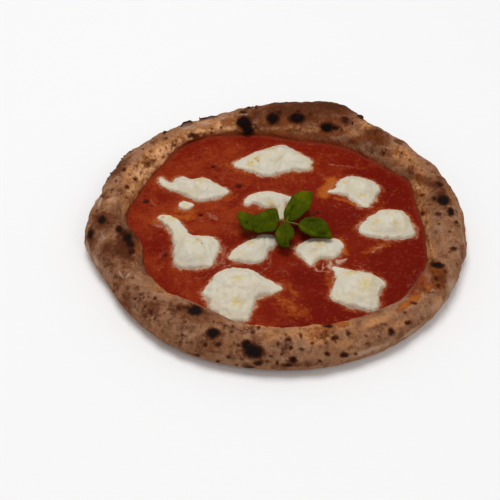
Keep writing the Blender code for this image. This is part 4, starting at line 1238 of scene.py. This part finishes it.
def makeLeaf(name, leaf, look, seed):
    rows, columns = basil["rows"] + 1, basil["columns"] + 1
    net = np.meshgrid(np.linspace(0, 1, rows), np.linspace(-1, 1, columns), indexing="ij")
    along, aside = (axis.ravel() for axis in net)
    points, pixels = leafPlaces(leaf, along, aside)
    veins, puff = leafVeins(along, aside)
    wobble = noiseAt(points, 6, seed) * 0.55 + noiseAt(points, 2.5, seed + 1) * 0.25
    points[:, 2] += 0.38 * puff - 0.2 * veins + wobble
    # Painted light and painted shade, as fields that the leaf's material reads
    shades = {"light": pixelClouds(leafPaintedLightMarks, pixels), "dark": pixelClouds(leafPaintedShadeMarks, pixels)}
    fields = {"vein": veins, "puff": puff, **shades}
    made = makeMesh(name, points, gridFaces(rows, columns, flipped=True), look, fields)
    thicken(made, basil["thickness"])
    standFor(made, "basil_sprig")


def makeStalk(name, places, radii, look):
    # A round tapering stalk along a smooth curve, kept as a mesh
    curve = bpy.data.curves.new(name, "CURVE")
    curve.dimensions = "3D"
    curve.bevel_depth = basil["stalkRadius"] * mm
    curve.bevel_resolution = 4
    curve.resolution_u = 10
    curve.use_fill_caps = True
    spline = curve.splines.new("NURBS")
    spline.points.add(len(places) - 1)
    spline.use_endpoint_u = True
    spline.order_u = 3
    for point, place, radius in zip(spline.points, places, radii):
        point.co = (*((Vector(place) - Vector(crustMiddle)) * mm), 1)
        point.radius = radius
    guide = addObject(name + "_guide", curve)
    mesh = bpy.data.meshes.new_from_object(guide.evaluated_get(bpy.context.evaluated_depsgraph_get()))
    bpy.data.objects.remove(guide)
    mesh.name = name
    mesh.materials.clear()
    mesh.materials.append(look)
    mesh.shade_smooth()
    standFor(addObject(name, mesh), "basil_sprig")


def makeBasilLook():
    shine = {"Roughness": 0.5, "Specular_IOR_Level": 0.012}
    paint = Painter("basilLeaf", basilLook, Subsurface_Weight=0.04, Subsurface_Scale=0.001, **shine)
    broad, fine = paint.grain(5), paint.grain(1.2)
    # Painted light where the leaves are lit
    light = paint.grainy("light", (broad, 0.9), (fine, 0.5))
    paint.colour = paint.blend(paint.ramp(light, 0, 1, 0, 0.9), "leaf", "light")
    # Painted shade in the grooves along the veins, the midrib and the rim
    paint.coat("dark", paint.field("puff"), 0.5, 0, 0.22)
    paint.coat("vein", paint.field("vein"), 0.3, 1, 0.3)
    # Painted shade where the leaves lie in shade; the strongest mark is a real black speck
    dark = paint.grainy("dark", (broad, 0.8), (fine, 0.6))
    paint.coat("dark", dark, 0.15, 1, 0.85)
    paint.coat("hole", dark, 1.3, 1.9)
    return paint.finish(paint.ramp(fine, 0.3, 0.7, 0.4, 0.55), (broad, 0.5, 0.3), (fine, 0.2, 0.5))


def makeStalkLook():
    paint = Painter("basilStalk", basilLook, Roughness=0.45, Specular_IOR_Level=0.05)
    streak = paint.grain(2)
    paint.colour = paint.blend(paint.ramp(streak, 0.4, 0.62), "stalk", "stalkBrown")
    return paint.finish(None, (streak, 0.1, 0.3))


stageSetup = {
    "floorSize": 3.0,
    "floorGap": 0.0003,
    "floorTone": (0.96, 0.96, 0.96),
    "skyStrength": 0.40,
    "keyPlace": (-0.35, 0.55, 2.9),
    "keySize": 1.7,
    "keyPower": 50,
    "fillPlace": (1.2, -1.6, 2.2),
    "fillSize": 1.6,
    "fillPower": 9,
}


def makeFloor():
    half = stageSetup["floorSize"] / 2
    mesh = bpy.data.meshes.new("floor")
    mesh.from_pydata([(-half, -half, 0), (half, -half, 0), (half, half, 0), (-half, half, 0)], [], [(0, 1, 2, 3)])
    mesh.materials.append(Painter("paleFloor", {}, Roughness=0.7, Base_Color=(*stageSetup["floorTone"], 1)).look)
    floor = addObject("floor", mesh)
    floor.location.z = -stageSetup["floorGap"]


def makeLight(kind):
    lamp = bpy.data.lights.new(kind + "Light", "AREA")
    lamp.shape, lamp.size, lamp.energy = "DISK", stageSetup[kind + "Size"], stageSetup[kind + "Power"]
    made = addObject(kind + "Light", lamp)
    made.location = stageSetup[kind + "Place"]
    made.rotation_euler = (-made.location).to_track_quat("-Z", "Y").to_euler()


def makeCamera():
    data = bpy.data.cameras.new("photoCamera")
    data.lens, data.sensor_width = photoView["lens"], photoView["sensor"]
    data.clip_start, data.clip_end = 0.05, 20
    made = addObject("photoCamera", data)
    made.matrix_world = Matrix((rightward, upward, backward)).transposed().to_4x4()
    made.location = (cameraPlace - Vector(crustMiddle)) * mm
    bpy.context.scene.camera = made


makeCamera()
makeFloor()
for kind in ("key", "fill"):
    makeLight(kind)
world = bpy.data.worlds.new("studio")
world.use_nodes = True
world.node_tree.nodes["Background"].inputs["Color"].default_value = (1, 1, 1, 1)
world.node_tree.nodes["Background"].inputs["Strength"].default_value = stageSetup["skyStrength"]
bpy.context.scene.world = world
bpy.context.scene.view_settings.view_transform = "Standard"
print("stage ready")

doughLook = makeCrustLook()
rim = makeCrust(doughLook)
for name, flake in crustFlakes.items():
    makeFlake(name, flake, rim, doughLook)
makeBumps(rim, doughLook)
print("crust baked")

makeSauce(makeSauceLook())
print("sauce spread")

milkLook = makeCheeseLook()
for seed, (node, piece) in enumerate(cheesePieces.items()):
    makeCheese(node, piece, milkLook, seed)
print("mozzarella torn")

leafLook, stalkLook = makeBasilLook(), makeStalkLook()
for seed, (name, leaf) in enumerate(basil["leaves"].items()):
    makeLeaf(name, leaf, leafLook, 20 + 2 * seed)
centre = Vector(basil["stemCentre"])
for name, leaf in basil["leaves"].items():
    if name != "basil_leaf_far_left":
        start, inside = (Vector(place) for place in leafPlaces(leaf, np.array([0.0, 0.14]), np.zeros(2))[0])
        bow = (centre + start) / 2 + Vector((0, 0, 0.5))
        makeStalk(name + "_stalk", [centre, bow, start, inside], basil["stalkTaper"], stalkLook)
makeStalk("basil_stem", basil["stem"], basil["stemTaper"], stalkLook)
print("basil laid")
